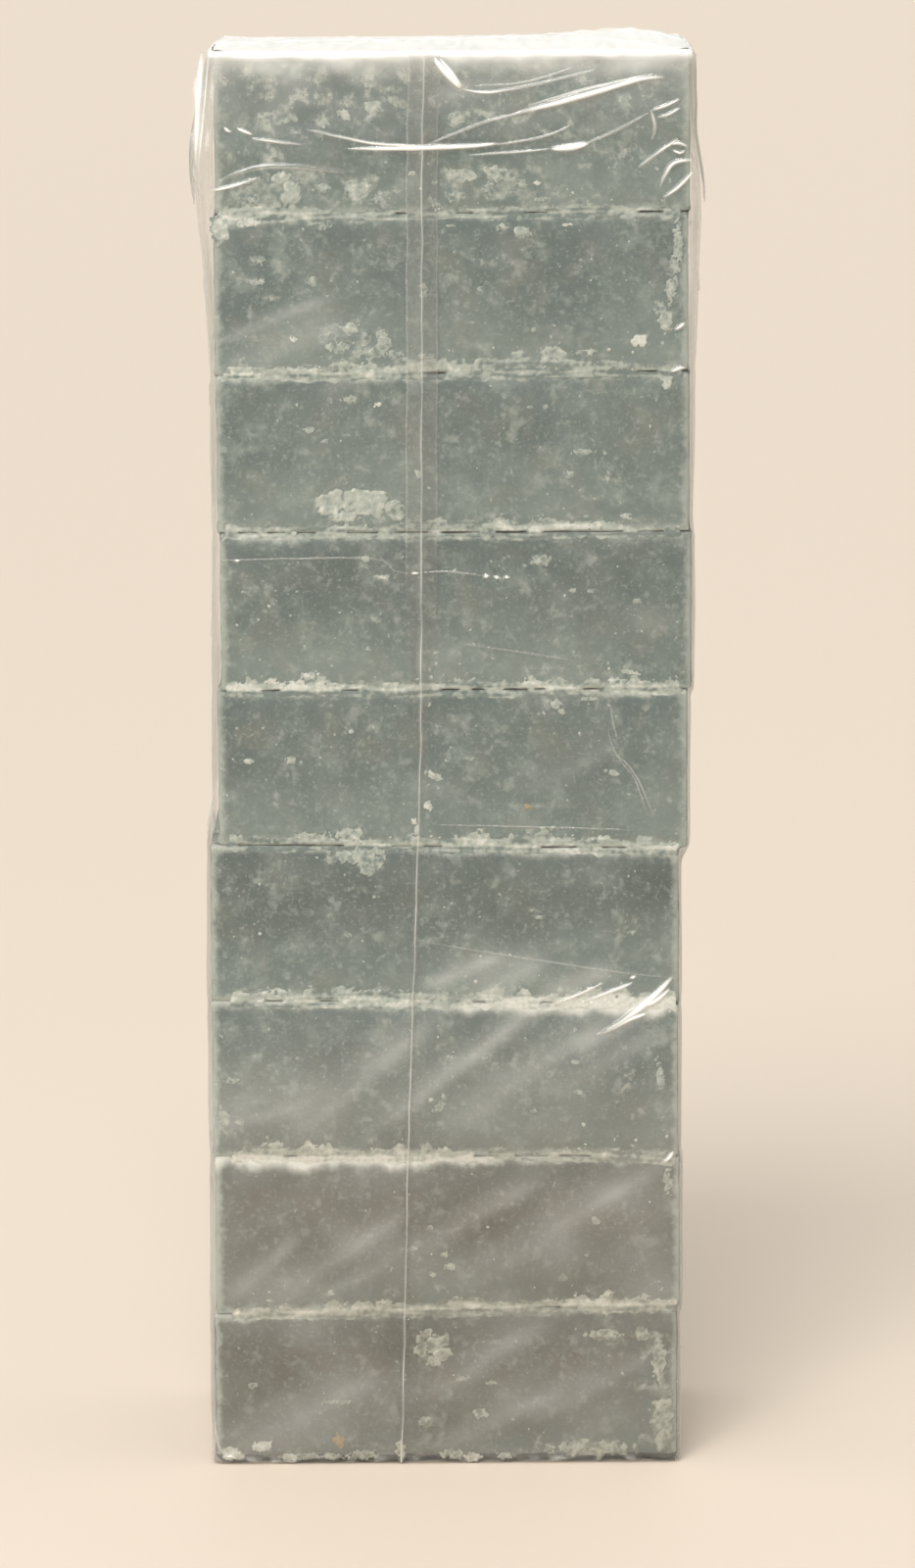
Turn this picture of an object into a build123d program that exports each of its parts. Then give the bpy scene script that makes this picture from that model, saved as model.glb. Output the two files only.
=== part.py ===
from build123d import *

import os

# A pack of gymnastics chalk: nine blocks in one column, sealed in a clear film bag.
# +Z is up, the front with the lap seam faces -Y, and +X is to the right seen from the front.
# The origin is the middle of the footprint, on the surface that the pack stands on.
# All lengths are in millimetres.

# Chalk blocks
block_count = 9
block_width = 76.2  # three inches across the front
block_depth = 50.8  # two inches from front to back
block_height = 25.7  # an inch, cut a little full
upright_round = 1.2  # worn upright edges
arris_wear = 0.6  # bevel that wear leaves round the top and bottom faces

# How far each block has slipped to the right in the bag, bottom block first
block_slips = [-1.15, -0.75, -1.0, -0.95, 0.45, 1.1, 0.75, 0.6, 0.85]
# How much each joint climbs from left to right, lowest joint first: the cuts are not square
joint_climbs = [1.3, -0.3, -0.8, -0.9, 0.05, -0.05, 0.4, 0.2]

# Clear film
film_thickness = 0.1
film_slack = 0.2  # air between the chalk and the film
side_belly = 0.6  # how far a tight narrow side bows out

# Loose film by the top ears: how far the narrow sides bow out, at the top and at each joint below
left_bellies = [2.6, 3.4, 1.6, 1.1]
right_bellies = [0.7, 3.2, 1.7, 1.2, 0.9]

# Lap seam down the front: X of its middle at the top, at mid height and at the foot
seam_line = [-3.1, -4.3, -8.1]
seam_width = 5.1

# Top closure, puffed up near its right end: share of the width from the left, and height
ridge = [(0, 0.2), (0.5, 0.5), (0.7, 1.4), (0.86, 3.1), (0.9, 3.2), (0.94, 1.7), (0.97, 0.6), (1, 0.2)]
cross_seal_width = 3.0

# Ears: the corners of the bag pressed flat, folded down at the top and under at the foot
ear_clearance = 0.1  # between an ear and the side that it hangs on

# Worked out from the sizes above
fold_thickness = 2 * film_thickness  # an ear or a welded fin is two films thick
ear_reach = block_depth / 2  # a pressed corner reaches half the depth from its fold
foot_film_z = fold_thickness  # the bottom film lies on the two folded ears
chalk_base_z = foot_film_z + film_thickness
chalk_top_z = chalk_base_z + block_count * block_height
film_offset = film_slack + film_thickness  # from the chalk to the outside of the film
film_back = block_depth / 2 + film_offset
film_front = -film_back
film_corner = upright_round + film_offset
levels = range(block_count + 1)  # the foot, each joint and the top


def padded(values, count):
    """The first values of a list, its last one repeated up to the count."""
    return [values[min(n, len(values) - 1)] for n in range(count)]


slips = padded(block_slips, block_count)
climbs = [0] + padded(joint_climbs, block_count - 1) + [0]


def level_z(level):
    """Height of a level midway across the pack."""
    return chalk_base_z + level * block_height


def around(level):
    """The slips of the one or two blocks that meet at a level."""
    return slips[max(level - 1, 0) : level + 1]


def belly(bellies, level):
    """How far a narrow side bows out at a level, from a list that starts at the top."""
    below_top = block_count - level
    return bellies[below_top] if below_top < len(bellies) else side_belly


# The film runs straight from each level's outermost block to the next level's
left_bows = [belly(left_bellies, level) for level in levels]
right_bows = [belly(right_bellies, level) for level in levels]
left_edges = [min(around(level)) - block_width / 2 - film_offset for level in levels]
right_edges = [max(around(level)) + block_width / 2 + film_offset for level in levels]

# The stack is shifted so that the middle of the whole bag is at X = 0
leftmost = min(x - bow for x, bow in zip(left_edges, left_bows))
rightmost = max(x + bow for x, bow in zip(right_edges, right_bows))
stack_x = -(leftmost + rightmost) / 2
left_edges = [x + stack_x for x in left_edges]
right_edges = [x + stack_x for x in right_edges]

os.makedirs("parts", exist_ok=True)


def joint_point(level, x):
    """A point of a joint seen from the front, on the slanting line that the two blocks share."""
    return (x, level_z(level) + climbs[level] * (x - stack_x) / block_width)


# Nine chalk blocks: the front outline between two joints, run through the depth, its edges worn
for level in range(block_count):
    block_left = stack_x + slips[level] - block_width / 2
    block_right = block_left + block_width
    with BuildPart() as block:
        with BuildSketch(Plane.XZ.offset(block_depth / 2)):
            with BuildLine():
                Polyline(
                    joint_point(level, block_left),
                    joint_point(level, block_right),
                    joint_point(level + 1, block_right),
                    joint_point(level + 1, block_left),
                    close=True,
                )
            make_face()
        extrude(amount=-block_depth)
        fillet(block.edges().filter_by(Axis.Z), upright_round)
        sawn_faces = block.faces().filter_by(lambda face: abs(face.normal_at().Z) > 0.9)
        chamfer(sawn_faces.edges(), arris_wear)
    block.part.label = f"chalk_block_{level + 1}"
    export_step(block.part, f"parts/chalk_block_{level + 1}.step")


def bag_section(level, inset):
    """The bag cut level, inset from its outside: flat front and back, bowed narrow sides."""
    left = left_edges[level] + inset
    right = right_edges[level] - inset
    front = film_front + inset
    back = film_back - inset
    with BuildSketch(Plane.XY.offset(level_z(level))) as section:
        with BuildLine():
            Line((left, front), (right, front))
            ThreePointArc((right, front), (right + right_bows[level], 0), (right, back))
            Line((right, back), (left, back))
            ThreePointArc((left, back), (left - left_bows[level], 0), (left, front))
        make_face()
        fillet(section.vertices(), film_corner - inset)
    return section.sketch


# Sleeve: the film round the four upright sides, drawn tight from block to block
with BuildPart() as sleeve:
    loft([bag_section(level, 0) for level in levels], ruled=True)
    loft([bag_section(level, film_thickness) for level in levels], ruled=True, mode=Mode.SUBTRACT)
sleeve.part.label = "film_sleeve"
export_step(sleeve.part, "parts/film_sleeve.step")

# Lap seam: the film's two long edges lapped and welded, a strip that leans across the front
seam_heights = [chalk_top_z, (chalk_top_z + chalk_base_z) / 2, chalk_base_z]
seam_middle = [(stack_x + x, z) for x, z in zip(seam_line, seam_heights)]
with BuildPart() as lap_seam:
    with BuildSketch(Plane.XZ.offset(film_back)):
        with BuildLine():
            right_side = [(x + seam_width / 2, z) for x, z in seam_middle]
            left_side = [(x - seam_width / 2, z) for x, z in reversed(seam_middle)]
            Polyline(*right_side, *left_side, close=True)
        make_face()
    extrude(amount=film_thickness)
lap_seam.part.label = "lap_seam"
export_step(lap_seam.part, "parts/lap_seam.step")

# Stations of the top closure: where each one lies across the pack, and the ridge's height there
top_left = left_edges[-1] - left_bows[-1]
top_right = right_edges[-1] + right_bows[-1]
stations = [(top_left + share * (top_right - top_left), height) for share, height in ridge]
ridge_height = max(height for share, height in ridge)

# Top film: two slopes up to the ridge of the cross seal, trimmed to the top of the sleeve
with BuildPart() as top_film:
    for x, height in stations:
        with BuildSketch(Plane.YZ.offset(x)):
            with BuildLine():
                Polyline(
                    (film_front, chalk_top_z),
                    (0, chalk_top_z + height),
                    (film_back, chalk_top_z),
                    (film_back, chalk_top_z + film_thickness),
                    (0, chalk_top_z + height + film_thickness),
                    (film_front, chalk_top_z + film_thickness),
                    close=True,
                )
            make_face()
    loft(ruled=True)
    add(bag_section(block_count, 0))
    extrude(amount=ridge_height + film_thickness, mode=Mode.INTERSECT)
top_film.part.label = "top_film"
export_step(top_film.part, "parts/top_film.step")

# Top cross seal: the welded fin, pressed flat on the back slope along the ridge
with BuildPart() as top_cross_seal:
    for x, height in stations:
        ridge_top = chalk_top_z + height + film_thickness
        fin_edge = ridge_top - height * cross_seal_width / film_back
        with BuildSketch(Plane.YZ.offset(x)):
            with BuildLine():
                Polyline(
                    (0, ridge_top),
                    (cross_seal_width, fin_edge),
                    (cross_seal_width, fin_edge + fold_thickness),
                    (0, ridge_top + fold_thickness),
                    close=True,
                )
            make_face()
    loft(ruled=True)
top_cross_seal.part.label = "top_cross_seal"
export_step(top_cross_seal.part, "parts/top_cross_seal.step")

# Top ears: triangles that hang from the top edge and follow the bowed narrow sides
ear_inside = -ear_clearance
ear_outside = ear_inside - fold_thickness
top_levels = levels[-3:]
for name, side in (("top_ear_left", -1), ("top_ear_right", 1)):
    with BuildPart() as top_ear:
        loft([bag_section(level, ear_outside) for level in top_levels], ruled=True)
        loft([bag_section(level, ear_inside) for level in top_levels], ruled=True, mode=Mode.SUBTRACT)
        with BuildSketch(Plane.YZ.offset(stack_x)):
            with BuildLine():
                Polyline(
                    (-block_depth / 2, chalk_top_z),
                    (block_depth / 2, chalk_top_z),
                    (0, chalk_top_z - ear_reach),
                    close=True,
                )
            make_face()
        extrude(amount=side * block_width, mode=Mode.INTERSECT)
    top_ear.part.label = name
    export_step(top_ear.part, f"parts/{name}.step")

# Bottom film: the flat underside that the lowest block stands on
with BuildPart() as bottom_film:
    add(bag_section(0, 0))
    extrude(amount=-film_thickness)
bottom_film.part.label = "bottom_film"
export_step(bottom_film.part, "parts/bottom_film.step")

# Bottom ears: folded flat under the pack, which stands on them
for name, side, fold_x in (
    ("bottom_ear_left", -1, left_edges[0]),
    ("bottom_ear_right", 1, right_edges[0]),
):
    with BuildPart() as bottom_ear:
        with BuildSketch():
            with BuildLine():
                Polyline(
                    (fold_x, -block_depth / 2),
                    (fold_x, block_depth / 2),
                    (fold_x - side * ear_reach, 0),
                    close=True,
                )
            make_face()
        extrude(amount=fold_thickness)
    bottom_ear.part.label = name
    export_step(bottom_ear.part, f"parts/{name}.step")

# Bottom cross seal: the part of the welded fin that shows between the tips of the ears
fin_left = left_edges[0] + ear_reach
fin_right = right_edges[0] - ear_reach
with BuildPart() as bottom_cross_seal:
    with BuildSketch(Plane.XY.offset(foot_film_z - film_thickness)):
        with Locations(((fin_left + fin_right) / 2, cross_seal_width / 2)):
            Rectangle(fin_right - fin_left, cross_seal_width)
    extrude(amount=film_thickness)
bottom_cross_seal.part.label = "bottom_cross_seal"
export_step(bottom_cross_seal.part, "parts/bottom_cross_seal.step")
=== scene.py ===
import math
import random

import bpy
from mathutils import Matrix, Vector, noise


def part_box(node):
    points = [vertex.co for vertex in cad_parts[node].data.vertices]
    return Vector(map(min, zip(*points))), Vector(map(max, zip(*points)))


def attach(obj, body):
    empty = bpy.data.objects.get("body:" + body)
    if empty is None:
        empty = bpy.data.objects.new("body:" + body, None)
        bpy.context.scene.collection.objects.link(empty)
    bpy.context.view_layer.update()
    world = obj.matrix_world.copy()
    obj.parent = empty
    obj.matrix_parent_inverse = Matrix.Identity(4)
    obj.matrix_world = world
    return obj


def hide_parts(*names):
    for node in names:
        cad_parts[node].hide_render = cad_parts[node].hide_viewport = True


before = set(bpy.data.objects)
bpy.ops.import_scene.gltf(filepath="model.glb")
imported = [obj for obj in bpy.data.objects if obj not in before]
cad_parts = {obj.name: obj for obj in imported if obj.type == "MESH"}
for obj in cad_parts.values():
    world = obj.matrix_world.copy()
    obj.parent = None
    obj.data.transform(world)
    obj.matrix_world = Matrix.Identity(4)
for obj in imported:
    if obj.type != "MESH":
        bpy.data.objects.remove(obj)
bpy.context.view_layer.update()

mm = 0.001
random.seed(9)

# ---- the frame's own measures, in millimetres

def nodeBox(name):
    low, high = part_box(name)
    return Vector(low) / mm, Vector(high) / mm


wideFaces = ("front", "back")
sideSigns = {"left": -1, "right": 1}
blockNames = sorted(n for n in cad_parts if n.startswith("chalk_block_"))
blockBoxes = [nodeBox(n) for n in blockNames]
rowCount = len(blockBoxes)
baseZ = blockBoxes[0][0].z
topZ = blockBoxes[-1][1].z
rowHeight = (topZ - baseZ) / rowCount
frontY = blockBoxes[0][0].y
backY = blockBoxes[0][1].y
blockWidth = blockBoxes[0][1].x - blockBoxes[0][0].x
stackX = sum((low.x + high.x) / 2 for low, high in blockBoxes) / rowCount
levels = [baseZ + n * rowHeight for n in range(rowCount + 1)]
print("frame: rows", rowCount, "row height", round(rowHeight, 2), "stack middle", round(stackX, 2))


# ---- small helpers

def deselectAll():
    if bpy.context.object and bpy.context.object.mode != "OBJECT":
        bpy.ops.object.mode_set(mode="OBJECT")
    bpy.ops.object.select_all(action="DESELECT")


def makeActive(piece):
    deselectAll()
    piece.select_set(True)
    bpy.context.view_layer.objects.active = piece


def applyModifiers(piece):
    makeActive(piece)
    for modifier in list(piece.modifiers):
        bpy.ops.object.modifier_apply(modifier=modifier.name)


def clamped(value, low=0, high=1):
    return min(high, max(low, value))


def ease(low, high, value):
    share = clamped((value - low) / (high - low))
    return share * share * (3 - 2 * share)


def lineAt(points, at, soft=True):
    # the value of a drawn line of (place, value) points, eased or straight from each to the next
    if at <= points[0][0]:
        return points[0][1]
    for (start, first), (end, second) in zip(points, points[1:]):
        if at <= end:
            if soft:
                return first + (second - first) * ease(start, end, at)
            return first + (second - first) * (at - start) / (end - start)
    return points[-1][1]


def ripple(x, y, z, seed=0.0):
    return noise.noise(Vector((x + seed * 17.3, y - seed * 5.1, z + seed * 9.7)))


def jointDip(z):
    # how near a joint this height is, where the film draws in
    return sum(math.exp(-((z - level) / 1.4) ** 2) for level in levels[1:-1])


def addLayers(mesh, layers):
    # numbers kept on the points for the materials: one for each point, or one for all
    for layer, values in layers.items():
        if not isinstance(values, list):
            values = [values] * len(mesh.vertices)
        mesh.attributes.new(layer, "FLOAT", "POINT").data.foreach_set("value", values)


def addMesh(name, points, faces, layers):
    # the points are in millimetres
    mesh = bpy.data.meshes.new(name)
    mesh.from_pydata([tuple(c * mm for c in p) for p in points], [], faces)
    addLayers(mesh, layers)
    mesh.shade_smooth()
    mesh.update()
    piece = bpy.data.objects.new(name, mesh)
    bpy.context.collection.objects.link(piece)
    return piece


def netFaces(lines, perLine, start=0, turned=False):
    # the quads of a net of points that are listed line by line
    faces = []
    for line in range(lines - 1):
        for k in range(perLine - 1):
            a = start + line * perLine + k
            b = a + perLine
            faces.append((a, a + 1, b + 1, b) if turned else (a, b, b + 1, a + 1))
    return faces


def crustFaces(net, heights, start, least, face):
    # leaves out the quads that are wholly sunk in the block, and turns the rest outwards
    shown = [quad for quad in net if max(heights[k - start] for k in quad) > least]
    return shown if face in ("front", "right") else [quad[::-1] for quad in shown]


def addLooseChalk(name, points, faces, whites, stainsAndWarmLight):
    piece = addMesh(name, points, faces, {"white": whites, "stainAndWarmLight": stainsAndWarmLight})
    makeActive(piece)
    bpy.ops.object.mode_set(mode="EDIT")
    bpy.ops.mesh.select_all(action="SELECT")
    bpy.ops.mesh.delete_loose()
    bpy.ops.object.mode_set(mode="OBJECT")
    piece.data.materials.append(crumbMaterial)
    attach(piece, "root")


def addFilm(name, points, faces, layers):
    piece = addMesh(name, points, faces, layers)
    piece.data.materials.append(filmMaterial)
    return piece


# ---- materials

def colour(red, green, blue):
    # a screen colour as the shader wants it
    def linear(value):
        return value / 12.92 if value <= 0.04045 else ((value + 0.055) / 1.055) ** 2.4
    return (linear(red), linear(green), linear(blue), 1)


class Nodes:
    # a node tree built call by call: an input takes a number, a colour or another node's output
    def __init__(self, tree, output):
        tree.nodes.clear()
        self.tree = tree
        self.output = tree.nodes.new(output).inputs[0]

    def add(self, kind, inputs=None, **settings):
        node = self.tree.nodes.new(kind)
        for key, value in settings.items():
            setattr(node, key, value)
        for key, value in (inputs or {}).items():
            if isinstance(value, bpy.types.NodeSocket):
                self.tree.links.new(value, node.inputs[key])
            else:
                node.inputs[key].default_value = value
        return node.outputs

    def end(self, shader):
        self.tree.links.new(shader, self.output)

    def layer(self, name):
        return self.add("ShaderNodeAttribute", attribute_name=name)["Fac"]

    def noise(self, scale, detail=4, roughness=0.55):
        inputs = {"Vector": self.place, "Scale": scale, "Detail": detail, "Roughness": roughness}
        return self.add("ShaderNodeTexNoise", inputs)["Fac"]

    def ramp(self, value, low, high, start=0.0, end=1.0):
        inputs = {"Value": value, "From Min": low, "From Max": high, "To Min": start, "To Max": end}
        return self.add("ShaderNodeMapRange", inputs, interpolation_type="SMOOTHSTEP")[0]

    def maths(self, operation, first, second, clamp=False):
        return self.add("ShaderNodeMath", {0: first, 1: second}, operation=operation, use_clamp=clamp)[0]

    def times(self, first, second, clamp=False):
        return self.maths("MULTIPLY", first, second, clamp)

    def plus(self, first, second, clamp=False):
        return self.maths("ADD", first, second, clamp)

    def roughen(self, value, pattern, amount, clamp=False):
        # breaks an even value up by a noise pattern
        return self.plus(value, self.times(self.maths("SUBTRACT", pattern, 0.5), amount), clamp)

    def blend(self, share, first, second):
        inputs = {"Factor": share, "A": first, "B": second}
        return self.add("ShaderNodeMix", inputs, data_type="RGBA")["Result"]

    def coat(self, base, coats):
        # lays one coat after another over the base: share, colour
        for share, tone in coats:
            base = self.blend(share, base, tone)
        return base

    def bump(self, height, strength, distance):
        return self.add("ShaderNodeBump", {"Height": height, "Strength": strength, "Distance": distance})[0]

    def mixShaders(self, share, first, second):
        return self.add("ShaderNodeMixShader", {0: share, 1: first, 2: second})[0]

    def surface(self, base, roughness, specular=0.5, **others):
        inputs = {"Base Color": base, "Roughness": roughness, "Specular IOR Level": specular, **others}
        return self.add("ShaderNodeBsdfPrincipled", inputs)[0]


def newMaterial(name):
    material = bpy.data.materials.new(name)
    material.use_nodes = True
    n = Nodes(material.node_tree, "ShaderNodeOutputMaterial")
    n.place = n.add("ShaderNodeTexCoord")["Object"]
    return material, n


chalkLook = {
    "paintedFootShadow": colour(0.17, 0.17, 0.155),
    "shaded": colour(0.31, 0.34, 0.32),
    "deep": colour(0.37, 0.427, 0.41),
    "body": colour(0.445, 0.492, 0.47),
    "warm": colour(0.505, 0.502, 0.46),
    "pale": colour(0.535, 0.573, 0.54),
    "dusty": colour(0.67, 0.68, 0.63),
    "powder": colour(0.685, 0.705, 0.66),
    "crumb": colour(0.86, 0.855, 0.815),
    "stainAndWarmLight": colour(0.62, 0.50, 0.30),
    "paintedWarmLight": colour(0.37, 0.35, 0.30),
}


def pressedChalk():
    material, n = newMaterial("pressedChalk")
    wear, rise, arris, caked, shade, paintedWarmLight = map(n.layer, ("wear", "rise", "arris", "caked", "shade", "paintedWarmLight"))
    tone = chalkLook
    cloudy = n.noise(55, 4, 0.6)
    mottle = n.noise(190, 5, 0.68)
    blotch = n.noise(340, 3, 0.5)
    flaky = n.noise(360, 6, 0.7)
    broken = n.noise(420, 5, 0.7)
    grain = n.noise(1500, 4, 0.65)
    specks = n.times(n.ramp(n.noise(900, 2, 0.5), 0.68, 0.76, 0, 0.75), n.ramp(mottle, 0.4, 0.55))
    base = n.coat(tone["deep"], [
        (n.ramp(cloudy, 0.36, 0.64), tone["body"]),
        (n.ramp(mottle, 0.49, 0.70, 0, 0.85), tone["pale"]),
        (n.ramp(mottle, 0.46, 0.30, 0, 0.8), tone["deep"]),
        (n.ramp(n.noise(120, 3), 0.5, 0.66, 0, 0.45), tone["warm"]),
        # painted shade: some blocks are darker towards the top; painted warm light: the lowest ones are a
        # little browner
        (n.times(shade, n.ramp(mottle, 0.68, 0.4, 0.5, 1)), tone["shaded"]),
        (n.times(paintedWarmLight, n.ramp(mottle, 0.7, 0.35, 0.5, 0.95)), tone["paintedWarmLight"]),
        # blotches and specks of paler chalk in the mix
        (n.ramp(blotch, 0.58, 0.74, 0, 0.42), tone["powder"]),
        (specks, tone["crumb"]),
        (n.ramp(n.noise(560, 4, 0.6), 0.56, 0.72, 0, 0.4), tone["powder"]),
        (n.ramp(grain, 0.52, 0.72, 0, 0.4), tone["powder"]),
        (n.ramp(grain, 0.46, 0.3, 0, 0.35), tone["deep"]),
    ])
    # soft-edged patches of caked dust, mostly on the top block, where they also paint glow from its lit top
    patch = n.ramp(n.plus(flaky, n.times(caked, 0.12)), 0.59, 0.72, 0, 0.95)
    patch = n.times(patch, n.ramp(caked, 0.0, 0.7, 0.35, 1))
    patch = n.times(patch, n.ramp(broken, 0.34, 0.56, 0.3, 1))
    dusted = n.blend(n.ramp(broken, 0.42, 0.6), tone["dusty"], tone["powder"])
    dusted = n.blend(n.ramp(n.noise(700, 4, 0.6), 0.5, 0.68, 0, 0.6), dusted, tone["crumb"])
    # painted shade: hollows in the caked dust are darker
    paintedHollowShade = n.times(n.ramp(flaky, 0.52, 0.38, 0, 0.9), n.ramp(caked, 0.15, 0.8))
    # painted light and shade: each block is paler towards its foot and darker towards its top
    paintedFootLight = n.times(n.ramp(rise, 0.7, 0.0, 0, 0.42), n.ramp(cloudy, 0.25, 0.65, 0.45, 1.0))
    shaded = n.times(n.ramp(rise, 0.72, 0.95, 0, 0.5), n.ramp(mottle, 0.62, 0.4))
    edge = n.ramp(n.roughen(wear, broken, 1.1), 0.45, 1.0)
    # worn top edges, partly a painted highlight where light catches them
    rubbedAndLit = n.ramp(n.roughen(arris, broken, 0.8), 0.02, 1.1, 0, 0.95)
    base = n.coat(base, [
        (paintedHollowShade, tone["deep"]),
        (patch, dusted),
        (paintedFootLight, tone["pale"]),
        (shaded, tone["deep"]),
        # painted warm light on the lowest blocks
        (n.times(paintedWarmLight, 0.36), tone["paintedWarmLight"]),
        (n.times(edge, 0.7), tone["powder"]),
        (rubbedAndLit, tone["crumb"]),
        # painted shadow along the lowest block's foot edge
        (n.ramp(shade, 1.0, 1.9, 0, 0.85), tone["paintedFootShadow"]),
    ])
    height = n.plus(n.plus(mottle, blotch), n.times(grain, 0.4))
    rough = n.ramp(mottle, 0.3, 0.7, 0.8, 0.95)
    n.end(n.surface(base, rough, 0.2, Normal=n.bump(height, 0.55, 0.0007)))
    return material


def looseChalk():
    # caked powder and flakes: "white" on the points runs from the block's own tone to clean chalk
    material, n = newMaterial("looseChalk")
    mottle = n.noise(430, 5, 0.7)
    grain = n.noise(1500, 4, 0.6)
    uneven = n.roughen(n.layer("white"), mottle, 1.1, clamp=True)
    base = n.coat(chalkLook["body"], [
        (n.ramp(uneven, 0.0, 0.5), chalkLook["powder"]),
        (n.ramp(uneven, 0.45, 1.0), chalkLook["crumb"]),
        (n.ramp(grain, 0.4, 0.7, 0, 0.3), chalkLook["pale"]),
        # real stains, and the painted warm light on the lowest rows' powder
        (n.layer("stainAndWarmLight"), chalkLook["stainAndWarmLight"]),
    ])
    height = n.plus(mottle, n.times(grain, 0.5))
    rough = n.ramp(grain, 0.3, 0.7, 0.82, 0.95)
    n.end(n.surface(base, rough, 0.15, Normal=n.bump(height, 0.6, 0.0008)))
    return material


filmLook = {
    "haze": 0.015,  # how milky flat film is
    "milk": colour(0.955, 0.95, 0.925),
    "rim": 0.36,  # how milky it is edge-on
    "mirror": 0.45,  # crinkles keep it from being a full mirror edge-on
    "roughness": 0.09,
    "index": 1.5,
    "clear": (0.985, 0.985, 0.98, 1),
}


def clearFilm():
    material, n = newMaterial("clearFilm")
    stressAndHighlight, veilAndReflection, cling = map(n.layer, ("stressAndHighlight", "veilAndReflection", "cling"))
    dust = n.ramp(n.noise(420, 4, 0.6), 0.54, 0.8, 0, 0.05)
    # painted highlight and reflection: whitening and veil turn the film milky white where creases glint,
    # bands reflect light and the top glares
    haze = n.plus(n.times(veilAndReflection, 0.45), n.times(stressAndHighlight, 0.9))
    haze = n.plus(haze, n.plus(dust, filmLook["haze"]))
    # milkier where it is seen edge-on, most of all where it is already veiled
    edgeOn = n.add("ShaderNodeLayerWeight", {"Blend": 0.5})["Facing"]
    sheen = n.plus(n.times(veilAndReflection, 0.6), filmLook["rim"])
    rim = n.times(n.maths("POWER", edgeOn, 3.0), sheen)
    # two plies that cling together have no such rim, and reflect only once
    rim = n.times(rim, n.maths("SUBTRACT", 1.0, cling))
    haze = n.plus(haze, rim, clamp=True)
    fresnel = n.add("ShaderNodeFresnel", {"IOR": filmLook["index"]})[0]
    mirror = n.times(fresnel, n.maths("SUBTRACT", 1.1, cling), clamp=True)
    mirror = n.maths("MINIMUM", mirror, filmLook["mirror"])
    crinkle = n.bump(n.noise(330, 5, 0.6), 0.25, 0.0004)
    clear = n.add("ShaderNodeBsdfTransparent", {"Color": filmLook["clear"]})[0]
    shine = {"Color": (1, 1, 1, 1), "Roughness": filmLook["roughness"], "Normal": crinkle}
    gloss = n.add("ShaderNodeBsdfAnisotropic", shine)[0]
    # whitened film scatters light both back and through
    back = n.surface(filmLook["milk"], 0.3, Normal=crinkle)
    through = n.add("ShaderNodeBsdfTranslucent", {"Color": filmLook["milk"]})[0]
    firm = n.plus(stressAndHighlight, n.times(veilAndReflection, 0.6))
    milk = n.mixShaders(n.ramp(firm, 0.3, 0.8, 0.32, 0.04), back, through)
    n.end(n.mixShaders(haze, n.mixShaders(mirror, clear, gloss), milk))
    return material


chalkMaterial = pressedChalk()
crumbMaterial = looseChalk()
filmMaterial = clearFilm()
print("materials made")


# ---- chalk blocks

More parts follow.
